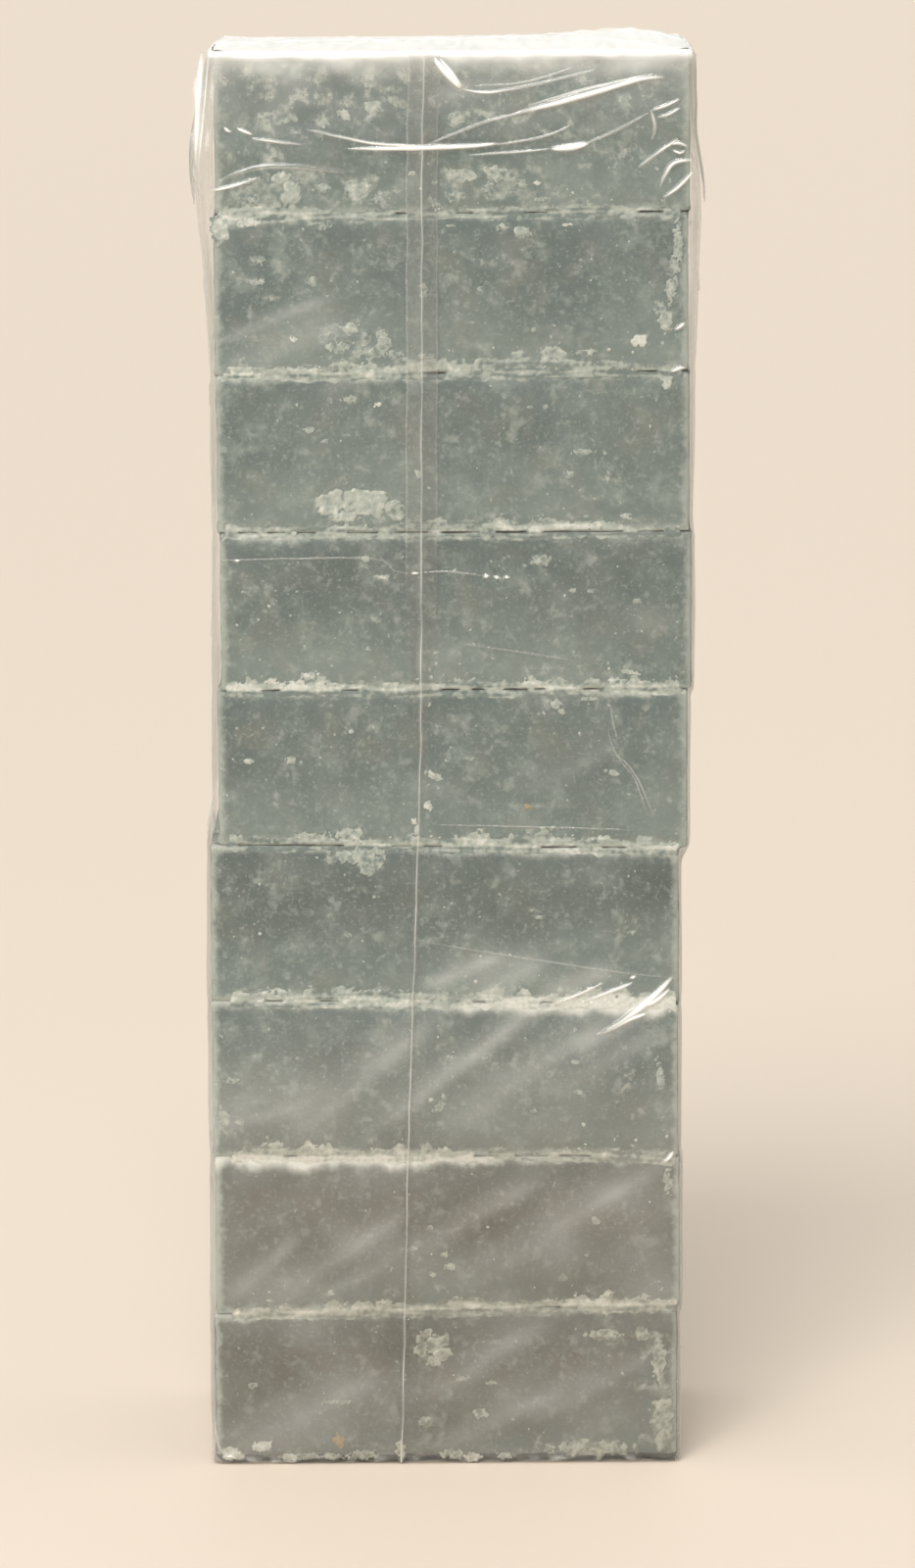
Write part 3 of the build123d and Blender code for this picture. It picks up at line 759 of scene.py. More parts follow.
flakes = {
    # on the front, by row from the top: X, Z, half width, half height, lean in degrees, whiteness
    "front": [
        (-27.5, 221.3, 3.6, 1.1, 0, 0.3), (-17.0, 221.7, 1.1, 0.7, -35, 0.6),
        (-12.0, 222.8, 1.7, 1.0, 0, 0.4), (1.0, 221.0, 1.5, 1.2, 0, 0.35),
        (-27.2, 211.6, 1.5, 1.1, 20, 0.55), (-25.6, 209.0, 1.7, 1.9, 10, 0.5),
        (-15.2, 209.7, 2.2, 1.7, 0, 0.5), (-20.6, 210.0, 1.4, 0.9, 0, 0.3), (1.8, 212.0, 2.5, 1.0, 0, 0.4),
        (8.0, 212.0, 2.5, 1.1, -15, 0.5), (11.3, 210.7, 0.9, 0.7, 0, 0.4), (13.8, 210.7, 0.6, 0.35, 0, 1.0),
        (0.6, 208.6, 1.5, 0.9, 0, 0.3), (-6.3, 212.3, 0.6, 0.35, 0, 1.0), (-11.6, 207.9, 1.4, 0.8, 0, 0.3),
        (6.0, 209.6, 0.9, 1.6, 0, 0.25), (-31.5, 208.0, 1.3, 0.8, 0, 0.3), (14.8, 208.0, 1.8, 0.5, 0, 0.3),
        (-32.5, 204.7, 2.1, 0.8, 4, 0.75), (-36.9, 203.7, 1.3, 2.1, 0, 0.6),
        (-21.5, 204.0, 2.0, 0.7, 0, 0.3), (-22.5, 195.0, 0.8, 0.8, 0, 0.4),
        (-31.5, 195.0, 1.4, 0.6, 0, 0.5), (-31.2, 198.6, 1.2, 0.8, 0, 0.25),
        (-29.0, 192.2, 0.8, 0.4, 0, 0.3), (-25.6, 185.9, 0.7, 0.55, 0, 0.95),
        (-16.4, 187.5, 1.7, 0.9, -10, 0.45), (-11.3, 186.5, 1.3, 0.9, -20, 0.4),
        (-18.2, 184.6, 2.4, 1.0, 0, 0.3), (-13.0, 183.5, 2.4, 1.0, 0, 0.35),
        (-4.5, 193.6, 0.9, 1.1, 0, 0.35), (-0.2, 203.9, 1.0, 0.28, 0, 0.5), (4.5, 198.2, 0.9, 0.6, 0, 0.3),
        (4.6, 193.6, 0.7, 0.5, 0, 0.3), (8.0, 203.6, 0.9, 0.6, 0, 0.4), (11.5, 202.8, 1.3, 1.1, 0, 0.35),
        (18.8, 204.0, 0.8, 0.25, 8, 0.9), (3.3, 188.2, 0.7, 0.4, 0, 0.3), (13.0, 187.2, 0.45, 0.4, 0, 0.5),
        (30.2, 185.4, 1.25, 0.95, 0, 0.95), (21.0, 198.3, 0.7, 0.35, 0, 0.25),
        (16.0, 183.6, 2.1, 0.9, 0, 0.4), (36.3, 200.5, 0.7, 3.6, 0, 0.5),
        (35.3, 193.8, 0.8, 2.3, -12, 0.45), (34.3, 188.6, 1.2, 2.3, 12, 0.45),
        (-16.4, 176.1, 1.3, 0.7, 0, 0.45), (-11.7, 175.3, 1.0, 0.4, 12, 1.0),
        (-22.9, 171.2, 0.9, 0.5, 0, 0.65), (-20.5, 169.2, 0.7, 0.5, 0, 0.3),
        (-17.0, 170.3, 0.8, 0.35, 0, 0.25), (-5.6, 164.0, 0.7, 0.75, 0, 0.5),
        (0.9, 176.3, 0.3, 0.35, 0, 0.5), (15.0, 174.8, 0.5, 0.35, 30, 0.65),
        (12.6, 174.7, 0.5, 0.28, 0, 0.3), (21.0, 167.4, 1.7, 0.55, 0, 0.35),
        (24.6, 167.3, 0.45, 0.35, 0, 0.5), (29.8, 167.3, 0.4, 0.35, 0, 0.4),
        (18.5, 163.9, 1.1, 0.7, 0, 0.3), (-19.5, 159.3, 2.3, 2.0, 0, 0.54),
        (-13.6, 159.4, 4.3, 2.5, -4, 0.54), (-9.4, 158.4, 2.3, 1.5, -25, 0.48),
        (-17.6, 157.1, 2.4, 0.8, 0, 0.5), (-25.9, 154.8, 0.85, 0.6, -30, 0.9),
        (27.9, 157.0, 1.1, 0.5, 0, 0.5), (34.5, 178.6, 0.9, 1.2, 0, 0.55), (-14.2, 150.3, 0.8, 0.5, 0, 0.4),
        (-11.5, 147.2, 1.5, 0.6, 0, 0.3), (14.3, 149.9, 1.5, 0.9, 0, 0.35),
        (19.3, 145.0, 0.7, 0.35, 0, 0.5), (22.3, 144.9, 0.7, 0.35, 0, 0.3),
        (-12.5, 140.3, 1.4, 0.6, 0, 0.3), (-13.4, 135.6, 0.7, 0.5, 0, 0.3),
        (-2.8, 133.2, 0.28, 0.28, 0, 0.85), (-20.0, 133.9, 0.4, 0.25, 0, 0.5),
        (29.8, 143.2, 0.8, 0.4, 0, 0.3), (-23.5, 131.2, 1.2, 0.6, 0, 0.6),
        (28.5, 131.6, 1.7, 0.45, -10, 0.6), (16.5, 126.4, 0.9, 0.8, 0, 0.5),
        (17.6, 125.2, 0.6, 0.5, 0, 0.45), (22.0, 127.2, 1.4, 0.4, 0, 0.4),
        (-16.6, 122.2, 0.45, 0.4, 0, 0.7), (-33.2, 117.3, 1.0, 0.45, 0, 0.65),
        (-26.3, 117.5, 0.9, 0.5, 0, 0.5), (-3.3, 114.8, 1.6, 0.7, -30, 0.65),
        (-4.2, 109.8, 0.85, 1.0, 0, 0.75), (-6.5, 107.4, 0.5, 0.65, 0, 0.95),
        (-6.1, 105.9, 0.4, 0.8, 0, 0.9), (25.8, 115.1, 1.1, 0.5, -15, 0.65),
        (-1.1, 117.4, 0.5, 0.35, 0, 0.3), (2.6, 117.6, 0.9, 0.4, 0, 0.3), (16.2, 106.0, 0.8, 0.5, 0, 0.35),
        (-17.0, 105.2, 2.6, 1.2, 0, 0.4), (-15.4, 101.5, 2.4, 1.5, -10, 0.36),
        (-12.6, 100.6, 1.5, 1.3, 20, 0.34), (-17.8, 101.6, 1.5, 1.1, 0, 0.3),
        (-14.0, 99.4, 1.2, 0.9, 0, 0.32), (-12.4, 102.6, 1.2, 0.8, 0, 0.36),
        (-20.3, 91.8, 0.6, 0.4, 0, 0.25), (-17.5, 88.6, 0.8, 0.4, 0, 0.3), (13.9, 91.4, 0.8, 0.4, 0, 0.25),
        (28.8, 88.8, 0.8, 0.4, 0, 0.3), (-36.5, 64.5, 1.3, 0.5, 0, 0.35), (-38.0, 58.0, 1.0, 2.2, 0, 0.4),
        (-35.5, 57.6, 0.8, 0.8, 0, 0.3), (4.8, 68.3, 0.5, 0.8, 0, 0.3), (-2.5, 60.0, 0.8, 0.8, 0, 0.4),
        (-2.0, 61.9, 0.35, 0.6, 0, 0.4), (-4.0, 61.1, 0.5, 0.4, 0, 0.35), (21.0, 57.0, 0.35, 0.45, 0, 0.85),
        (19.6, 67.3, 0.7, 0.4, 0, 0.35), (20.0, 62.3, 0.8, 0.4, 0, 0.35), (12.8, 59.2, 0.6, 0.45, 0, 0.4),
        (33.4, 65.2, 0.7, 2.4, 5, 0.5), (34.7, 47.0, 0.7, 1.9, 0, 0.5), (22.9, 40.9, 0.75, 0.6, 0, 0.4),
        (-4.3, 39.8, 0.5, 0.5, 0, 0.35), (-7.0, 36.3, 0.8, 0.4, 0, 0.35), (-1.9, 35.2, 0.7, 0.5, 0, 0.4),
        (-1.0, 33.2, 1.0, 0.6, 0, 0.45), (-3.8, 31.9, 0.7, 0.5, 0, 0.4), (-20.6, 29.0, 0.6, 0.45, 20, 0.6),
        (-30.7, 27.7, 0.6, 0.3, 0, 0.5), (17.5, 31.3, 0.8, 0.7, 0, 0.25), (-4.0, 19.9, 1.7, 1.5, 0, 0.4),
        (-6.0, 19.1, 1.1, 1.2, 0, 0.42), (-2.3, 18.5, 1.4, 1.1, 0, 0.45), (-3.9, 17.4, 1.3, 1.0, 0, 0.4),
        (-2.1, 20.9, 1.2, 1.1, 0, 0.4), (-4.8, 21.9, 1.3, 0.9, 0, 0.38), (-6.1, 21.2, 0.9, 0.9, 0, 0.36),
        (-33.5, 13.3, 0.8, 0.5, 0, 0.5), (5.7, 13.6, 0.8, 0.4, 0, 0.55), (1.0, 14.3, 1.3, 0.6, 0, 0.3),
        (4.0, 8.4, 1.2, 0.9, 0, 0.5), (-5.2, 7.0, 1.3, 1.0, 0, 0.3), (-19.3, 10.5, 2.6, 0.4, 0, 0.3),
        (24.0, 21.6, 3.4, 0.9, 0, 0.35), (30.5, 21.8, 1.4, 1.3, 0, 0.4), (33.3, 17.5, 1.1, 4.6, 3, 0.5),
        (33.9, 7.0, 1.5, 4.6, 0, 0.45), (22.0, 2.6, 7.0, 1.2, 0, 0.4), (-15.5, 1.6, 2.6, 0.7, 0, 0.45),
        (-37.0, 1.9, 1.6, 1.0, 0, 0.85), (-32.1, 3.1, 2.0, 0.75, 5, 0.95), (-27.5, 1.2, 1.6, 0.6, 0, 0.5),
        (-20.5, 1.3, 1.4, 0.5, 0, 0.55), (-9.4, 2.4, 0.8, 1.6, 0, 0.7), (2.4, 1.0, 1.3, 0.8, 0, 0.75),
        (8.0, 1.3, 1.4, 0.5, 0, 0.5), (-0.8, 1.6, 1.6, 0.8, 0, 0.5), (-24.5, 1.3, 2.2, 0.5, 0, 0.4),
        (-14.4, 185.8, 1.8, 1.2, 0, 0.32), (-10.9, 184.9, 1.7, 1.2, 0, 0.36),
        (-19.6, 186.3, 1.2, 0.9, 0, 0.28), (-9.3, 183.2, 1.6, 0.8, 0, 0.3),
        (-4.0, 183.1, 1.8, 0.6, 0, 0.28), (21.5, 183.4, 1.8, 0.6, 0, 0.3), (33.6, 189.8, 1.1, 2.0, 12, 0.3),
        (35.6, 197.0, 0.8, 2.0, -6, 0.35),
    ],
    # the few bits that aren't clean chalk: a brown stain and an amber flake
    "stained": [(-19.4, 3.9, 1.1, 1.4, 0, 0.3), (11.9, 109.7, 0.55, 0.5, 0, 0.7)],
    "thick": 0.24,
    "sunk": 0.1,
    "elsewhere": 11,  # patches a row on the back, and about half as many on a side
    "spread": {"back": 34, "left": 21, "right": 21},  # how far from the middle they lie
    "sizes": (0.5, 0.6, 0.8, 1.0, 1.3, 2.0),
}


def faceSpot(face, along, z, out):
    # a point on, or a little off, one face of the column
    if face in wideFaces:
        return (along, frontY - out if face == "front" else backY + out, z)
    low, high = blockBoxes[clamped(int((z - baseZ) / rowHeight), 0, rowCount - 1)]
    return (low.x - out if face == "left" else high.x + out, along, z)


def flakeInto(points, faces, whites, stainsAndWarmLight, face, spot, seed, stainAndWarmLight=0.0):
    # a thin crust with a lobed outline: a fine net that sinks into the block outside it
    x, z, wide, tall, lean, white = spot
    small = min(wide, tall)
    cell = clamped(small / 4.5, 0.14, 0.45)
    reachX = wide * 1.35 + 0.3
    reachZ = tall * 1.35 + 0.3
    columns = max(4, round(2 * reachX / cell))
    rows = max(4, round(2 * reachZ / cell))
    turn = math.radians(lean)
    lobe = max(0.5, small * 0.7)
    sunk = flakes["sunk"]
    thick = flakes["thick"] * min(1, 0.55 + small * 0.35)
    warmLightHere = paintedWarmLightAt(z)
    start = len(points)
    heights = []
    for c in range(columns + 1):
        for r in range(rows + 1):
            a = -reachX + 2 * reachX * c / columns
            b = -reachZ + 2 * reachZ * r / rows
            shape = math.hypot(a / wide, b / tall)
            shape += 0.6 * ripple(a / lobe, b / lobe, 0.2, seed) + 0.22 * ripple(a / 0.5, b / 0.5, 0.4, seed)
            lumps = 0.6 + 0.7 * ripple(a / 0.9, b / 0.9, 0.7, seed)
            lumps += 0.35 * ripple(a / 0.4, b / 0.4, 0.1, seed)
            u = a * math.cos(turn) - b * math.sin(turn)
            v = a * math.sin(turn) + b * math.cos(turn)
            lumps *= 1 - 0.5 * min(1, jointDip(z + v))
            out = -sunk + (sunk + thick * lumps) * ease(1.08, 0.78, shape)
            heights.append(out)
            points.append(faceSpot(face, x + u, z + v, out))
            # painted highlight: a paler rim along each flake's outline; the painted warm light dulls them low
            # down
            tone = white - 0.04 - 0.14 * warmLightHere + 0.2 * math.exp(-((shape - 0.8) / 0.12) ** 2)
            tone += 0.4 * ripple(a / 1.1, b / 1.1, 0.9, seed)
            tone += 0.35 * ripple(a / 0.45, b / 0.45, 0.3, seed)
            whites.append(clamped(tone * ease(1.15, 0.85, shape)))
            # the real stain, and at the least the painted warm light low down
            stainsAndWarmLight.append(max(stainAndWarmLight, block["warmLightOnPowder"] * warmLightHere))
    net = netFaces(columns + 1, rows + 1, start)
    faces += crustFaces(net, heights, start, -sunk * 0.95, face)


def strayFlakes(face, row, chance):
    # x or y, z, half width, half height, lean and whiteness of a row's patches, by chance
    wide = face == "back"
    half = flakes["spread"][face]
    result = []
    for n in range(flakes["elsewhere"] if wide else flakes["elsewhere"] // 2):
        size = chance.choice(flakes["sizes"])
        along = (stackX if wide else 0) + chance.uniform(-half, half)
        z = levels[row] + rowHeight * clamped(chance.betavariate(1.3, 2.0), 0.08, 0.92)
        result.append((along, z, size * chance.uniform(0.9, 1.5), size * chance.uniform(0.5, 0.9),
                       chance.uniform(-30, 30), chance.uniform(0.25, 0.65)))
    return result


def makeFlakes(name, face, spots, stained=()):
    points, faces, whites, stainsAndWarmLight = [], [], [], []
    for n, spot in enumerate(spots):
        flakeInto(points, faces, whites, stainsAndWarmLight, face, spot, 100 + n)
    for n, spot in enumerate(stained):
        flakeInto(points, faces, whites, stainsAndWarmLight, face, spot, 300 + n, 0.75)
    addLooseChalk(name, points, faces, whites, stainsAndWarmLight)


makeFlakes("flakesFront", "front", flakes["front"], flakes["stained"])
strayChance = random.Random(21)
for face in ("back", "left", "right"):
    spots = []
    for row in range(rowCount):
        spots += strayFlakes(face, row, strayChance)
    makeFlakes(f"flakes{face.title()}", face, spots)
print("flakes made")


# ---- loose grains between the chalk and the film

grains = {
    "perJoint": 90,
    "scattered": 34,  # more of them, anywhere on a row
    "jointSize": (0.3, 0.75),
    "scatteredSize": (0.25, 0.6),
    "thickest": 0.26,
    "whites": (0.3, 0.4, 0.5, 0.6, 0.9),
}


def makeGrainShape(name, seed):
    deselectAll()
    bpy.ops.mesh.primitive_ico_sphere_add(subdivisions=1, radius=0.5 * mm, location=(0, 0, 0))
    shape = bpy.context.object
    shape.name = name
    for point in shape.data.vertices:
        point.co *= 1 + 0.32 * ripple(*(point.co / mm * 2.2), seed)
    return shape


grainShapes = [makeGrainShape(f"grain{n}", n + 1) for n in range(4)]


def grainOn(face, along, z, size):
    # one grain pressed onto a face of the column
    shape = random.choice(grainShapes)
    spin = random.uniform(0, math.tau)
    wide = size * random.uniform(0.75, 1.2)
    tall = size * random.uniform(0.6, 1.0)
    thick = min(grains["thickest"], size * 0.5)
    points = []
    for point in shape.data.vertices:
        p = point.co / mm
        u = p.x * wide * math.cos(spin) - p.y * tall * math.sin(spin)
        v = p.x * wide * math.sin(spin) + p.y * tall * math.cos(spin)
        points.append(faceSpot(face, along + u, z + v, p.z * thick))
    order = 1 if face in ("front", "right") else -1
    return points, [list(p.vertices)[::order] for p in shape.data.polygons]


def grainSpots(row):
    # face, place along it, height and size of each grain; they gather in patches at the joints
    spots = []
    while len(spots) < grains["scattered"] + (grains["perJoint"] if row else 0):
        atJoint = len(spots) >= grains["scattered"]
        face = random.choice(["front", "front", "back", "back", "left", "right"])
        wide = face in wideFaces
        half = blockWidth / 2 - 1 if wide else -frontY - 1
        along = random.uniform(-half, half)
        if not atJoint:
            z = levels[row] + rowHeight * random.uniform(0.06, 0.95)
            spots.append((face, along + stackX * wide, z, random.uniform(*grains["scatteredSize"])))
        elif ripple(along / 9, row * 3.1, 0.5, 2) > random.uniform(-0.5, 0.5):
            climb = block["jointClimb"][row] * along / blockWidth if wide else 0
            z = levels[row] + climb + abs(random.gauss(0, 1.6)) + 0.3
            spots.append((face, along + stackX * wide, z, random.uniform(*grains["jointSize"])))
    return spots


def makeGrains(row):
    points = []
    faces = []
    whites = []
    for spot in grainSpots(row):
        more, polygons = grainOn(*spot)
        start = len(points)
        points += more
        whites += [random.choice(grains["whites"])] * len(more)
        faces += [[start + k for k in polygon] for polygon in polygons]
    # the grains take on the painted warm light of the lowest rows
    addLooseChalk(f"chalkGrains{row + 1}", points, faces, whites, block["warmLightOnPowder"] * paintedWarmLightAt(levels[row]))


for row in range(rowCount):
    makeGrains(row)
for shape in grainShapes:
    bpy.data.objects.remove(shape)
print("grains made")


# ---- film bag

film = {
    "gap": 0.35,  # from the chalk to the film on the wide faces
    "clear": 0.5,  # least room between a block's end and the film's corner line
    "corner": 1.2,  # the upright corners' radius
    "foldAt": 0.7,  # radius where the film turns over the top and the foot
    "overTop": 0.25,  # from the chalk to the film at the top, and under the foot
    "underFoot": 0.12,
    "turnsFrom": (36, 24),  # only what is this far out from the middle, in X or Y, is drawn in at a turn
    "turnRows": 4,
    # the sleeve's net: its columns on each stretch, and the steps between its rows
    "columns": {"frontLeft": 44, "side": 26, "back": 56, "frontRight": 54, "corner": 4},
    "rowStep": 0.8,
    "fineStep": 0.5,
    "fineFrom": 205,
    # X of the film's front and back corners, from the foot up
    "leftCorner": [
        (0, -40.3), (10, -40.6), (26, -40.6), (51, -40.4), (77, -40.5), (101, -40.3), (104, -40.4),
        (109, -39.3), (129, -39.1), (154, -38.9), (180, -39.0), (193, -39.4), (206, -40.2),
        (214, -40.3), (224, -39.4), (232, -38.5),
    ],
    "rightCorner": [
        (0, 36.2), (25, 36.5), (45, 36.7), (60, 36.9), (78, 36.4), (100, 36.5), (104, 37.5),
        (130, 38.3), (152, 38.4), (155, 38.7), (180, 38.9), (193, 39.2), (206, 39.6),
        (212, 39.3), (223, 38.4), (232, 38.0),
    ],
    # how far the narrow sides bow out beyond those corners
    "leftBow": [(0, 0.3), (103, 0.4), (154, 0.5), (180, 0.6), (195, 0.9), (208, 1.5), (220, 1.8), (232, 0.5)],
    "rightBow": [(0, 0.3), (100, 0.3), (130, 0.5), (155, 0.6), (180, 0.9), (193, 1.2), (206, 1.3),
                 (220, 0.6), (232, 0.2)],
    # the lap seam's middle, from the foot up
    "seam": [
        (0, -9.2), (25, -8.5), (48, -7.9), (65, -7.3), (84, -6.6), (103, -5.9), (121, -5.3), (145, -5.1),
        (164, -5.0), (188, -4.8), (216, -4.6), (232, -4.1),
    ],
    "streakTurn": math.radians(37),  # the lean of the tension lines
    "reflectionBandStrength": 1.4,
    # painted reflection: soft pale bands along the tension lines, mostly in the lower rows: start X, Z, end
    # X, Z, half width, strength
    "reflectionBands": [
        (-26, 57, -2, 76, 3.2, 0.30), (-13, 58, 14, 77, 2.4, 0.42), (0, 58, 26, 76, 2.8, 0.30),
        (13, 62, 35, 74, 2.2, 0.22), (-40, 58, -24, 62, 4.0, 0.30), (20, 70, 31, 76, 1.3, 0.50),
        (-37, 29, -26, 39, 1.3, 0.30), (-30, 28, -8, 43, 1.8, 0.20), (-23, 28, -12, 34, 1.0, 0.22),
        (-6, 37, 13, 48, 2.0, 0.25), (0, 30, 30, 48, 3.0, 0.14), (14, 40, 34, 51, 2.2, 0.17),
        (-6, 12, 14, 24, 2.6, 0.27), (-4, 3, 16, 12, 1.8, 0.20), (12, 8, 33, 19, 2.4, 0.18),
        (-34, 5, -12, 16, 3.0, 0.18), (-5, 80.5, 8, 85, 1.1, 0.65), (3, 79, 14, 85, 2.4, 0.5),
        (14, 79, 26, 83, 1.6, 0.55), (-38, 185.5, -20, 192.5, 0.9, 0.40), (-37, 182.5, -14, 189, 2.6, 0.22),
        (10, 113, 27, 121, 2.5, 0.14),
    ],
}
filmHalf = -frontY + film["gap"]


def cornerX(face, z):
    # the film's corner line, kept clear of every block near this height
    x = lineAt(film[face + "Corner"], z, soft=False)
    for row, (low, high) in enumerate(blockBoxes):
        away = max(0, levels[row] - z, z - levels[row + 1])
        if away < 4:
            room = film["clear"] - 0.55 * away
            x = min(x, low.x - room) if face == "left" else max(x, high.x + room)
    return x


def streak(x, z):
    # soft diagonal tension lines that rise to the right
    turn = film["streakTurn"]
    along = x * math.cos(turn) + z * math.sin(turn)
    across = z * math.cos(turn) - x * math.sin(turn)
    return 0.7 * ripple(along / 30, across / 4.2, 0.3, 1) + 0.3 * ripple(along / 16, across / 1.1, 0.6, 11)


def bandReflection(x, z):
    # how much the painted reflection of the pale bands whitens the film here; each fades at its ends and
    # sides
    total = 0
    for x0, z0, x1, z1, half, strength in film["reflectionBands"]:
        if min(z0, z1) - 6 < z < max(z0, z1) + 6:
            run = Vector((x1 - x0, z1 - z0))
            reach = run.length
            run.normalize()
            along = ((x - x0) * run.x + (z - z0) * run.y) / reach
            across = (z - z0) * run.x - (x - x0) * run.y + 0.6 * ripple(x / 9, z / 9, 0.2, 13)
            if -0.2 < along < 1.2 and abs(across) < 2.5 * half:
                ends = ease(-0.15, 0.2, along) * ease(1.15, 0.75, along)
                fine = 0.8 + 0.6 * ripple(along * reach / 14, across / 1.7, 0.9, 18)
                total += strength * ends * math.exp(-(across / half) ** 2 * 1.2) * fine
    return total


def frontLift(x, z):
    # how far the film stands off its flat place: slack folds at the top, tension lines lower down
    lift = 0.14 * ripple(x / 15, z / 9, 0.1, 3) + 0.05 * ripple(x / 4, z / 4, 0.7, 4)
    lift += 0.16 * streak(x, z) * (0.35 + ease(112, 60, z))
    lift += 0.45 * ease(200, 226, z) * (0.6 + 0.8 * ripple(x / 20, z / 5, 0.2, 5))
    lift += 0.3 * ease(4, 0.5, z) * ripple(x / 1.6, z / 1.2, 0.5, 22)
    return lift - 0.13 * jointDip(z)


def backLift(x, z):
    return 0.16 * ripple(x / 17, z / 11, 0.4, 6) + 0.08 * ripple(x / 5, z / 14, 0.6, 7) - 0.1 * jointDip(z)


def sideLift(side, y, z):
    lift = 0.2 * ripple(y / 14, z / 12, side, 8) + 0.1 * ripple(y / 4, z / 16, side, 9)
    slack = ease(185, 215, z)
    return lift - 0.12 * jointDip(z) + slack * 0.15 * ripple(y / 11, z / 12, side, 10)


def filmPoint(face, along, z, lift=0.0):
    # a point of the film on one face of the column: along is X, or Y on the narrow sides
    if face == "front":
        return Vector((along, -filmHalf - frontLift(along, z) - lift, z))
    if face == "back":
        return Vector((along, filmHalf + backLift(along, z) + lift, z))
    side = sideSigns[face]
    share = along / (filmHalf - film["corner"])
    out = lineAt(film[face + "Bow"], z) * (1 - min(1, share * share)) + sideLift(side, along, z) + lift
    return Vector((cornerX(face, z) + side * out, along, z))


def cornerPoint(face, front, share, z):
    # front is -1 or 1; share runs from the wide face, 0, to the narrow one, 1
    side = sideSigns[face]
    radius = film["corner"]
    centreX = cornerX(face, z) - side * radius
    centreY = front * (filmHalf - radius)
    wideLift = frontLift(centreX, z) if front < 0 else backLift(centreX, z)
    narrowLift = sideLift(side, centreY, z)
    reach = radius + wideLift * (1 - share) + narrowLift * share
    turn = share * math.pi / 2
    return Vector((centreX + side * reach * math.sin(turn), centreY + front * reach * math.cos(turn), z))


def sleeveRow(z, height):
    # the film's outline at one height, from the seam round the back and home to the seam
    radius = film["corner"]
    seam = lineAt(film["seam"], height, soft=False)
    left = cornerX("left", height) + radius
    right = cornerX("right", height) - radius
    flat = filmHalf - radius
    columns = film["columns"]

    def stretch(face, start, end, count, last=0):
        return [filmPoint(face, start + (end - start) * k / count, height) for k in range(count + last)]

    def bend(face, front, outwards):
        shares = [k / columns["corner"] for k in range(columns["corner"])]
        return [cornerPoint(face, front, share if outwards else 1 - share, height) for share in shares]

    row = stretch("front", seam, left, columns["frontLeft"])
    row += bend("left", -1, True)
    row += stretch("left", -flat, flat, columns["side"])
    row += bend("left", 1, False)
    row += stretch("back", left, right, columns["back"])
    row += bend("right", 1, True)
    row += stretch("right", flat, -flat, columns["side"])
    row += bend("right", -1, False)
    row += stretch("front", right, seam, columns["frontRight"], last=1)
    return [Vector((p.x, p.y, z)) for p in row]


def drawnIn(row, share):
    # the outline drawn towards the middle, where the film turns over an end
    amount = film["foldAt"] * share
    fromX, fromY = film["turnsFrom"]
    result = []
    for p in row:
        toX = stackX - p.x
        toY = -p.y
        x = p.x + math.copysign(min(amount, abs(toX)), toX) * (abs(toX) > fromX)
        y = p.y + math.copysign(min(amount, abs(toY)), toY) * (abs(toY) > fromY)
        result.append(Vector((x, y, p.z)))
    return result


def turnedOver(edge, inwards, height):
    # the rows that turn over an end, from the upright film on
    rows = []
    for k in range(1, film["turnRows"] + 1):
        angle = math.pi / 2 * k / film["turnRows"]
        z = edge + inwards * film["foldAt"] * (1 - math.sin(angle))
        rows.append(drawnIn(sleeveRow(z, height), 1 - math.cos(angle)))
    return rows


def sleeveVeilAndReflection(p):
    # milkiness: a little in the lower rows and by chance; with painted glare, most towards the top; and
    # painted reflection in the pale bands, and along the tension lines on the other faces
    haze = 0.22 * ease(100, 40, p.z) * (0.8 + 0.8 * ripple(p.x / 13, p.y / 13, p.z / 8, 17))
    haze += 0.25 * max(0, ripple(p.x / 9, p.y / 9, p.z / 7, 12)) ** 1.5
    haze += 0.46 * ease(214, 229, p.z) * (0.8 + 0.9 * ripple(p.x / 8, p.y / 8, p.z / 3, 19))
    haze += 0.75 * ease(227.5, 232.5, p.z + 0.8 * ripple(p.x / 3, p.y / 3, p.z / 3, 23))
    if p.y < -filmHalf + 1:
        haze += film["reflectionBandStrength"] * bandReflection(p.x, p.z)
    else:
        haze += 0.5 * max(0, streak(p.x + p.y, p.z)) ** 1.4
    return min(1, haze)


def sleeveStressAndGlare(p):
    # whitening, partly painted glare, where the film turns over the top, and where it is torn at the foot
    turned = ease(topZ - 1.8, topZ + 0.3, p.z + 0.5 * ripple(p.x / 4, p.y / 4, p.z / 2, 24))
    torn = ease(baseZ + 1.6, baseZ + 0.5, p.z) * max(0, ripple(p.x / 1.6, p.y / 1.6, p.z / 0.9, 25))
    return min(1, 0.9 * turned ** 2 + 0.6 * torn)


def makeSleeve():
    filmTop = topZ + film["overTop"]
    filmFoot = baseZ - film["underFoot"]
    heights = []
    z = filmFoot + film["foldAt"]
    while z < filmTop - film["foldAt"]:
        heights.append(z)
        z += film["fineStep"] if z > film["fineFrom"] else film["rowStep"]
    rows = turnedOver(filmFoot, 1, heights[0])[::-1]
    rows += [sleeveRow(z, z) for z in heights]
    rows += turnedOver(filmTop, -1, heights[-1])
    points = [p for row in rows for p in row]
    return addFilm("filmSleeve", points, netFaces(len(rows), len(rows[0])), {
        "veilAndReflection": [sleeveVeilAndReflection(p) for p in points],
        "stressAndHighlight": [sleeveStressAndGlare(p) for p in points],
        "cling": [0.95 * ease(baseZ + 1.1, baseZ + 0.4, p.z) for p in points],
    })


sleeve = makeSleeve()
print("film sleeve made", len(sleeve.data.polygons))


# ---- folds and creases in the film, each drawn as a sharp little pleat

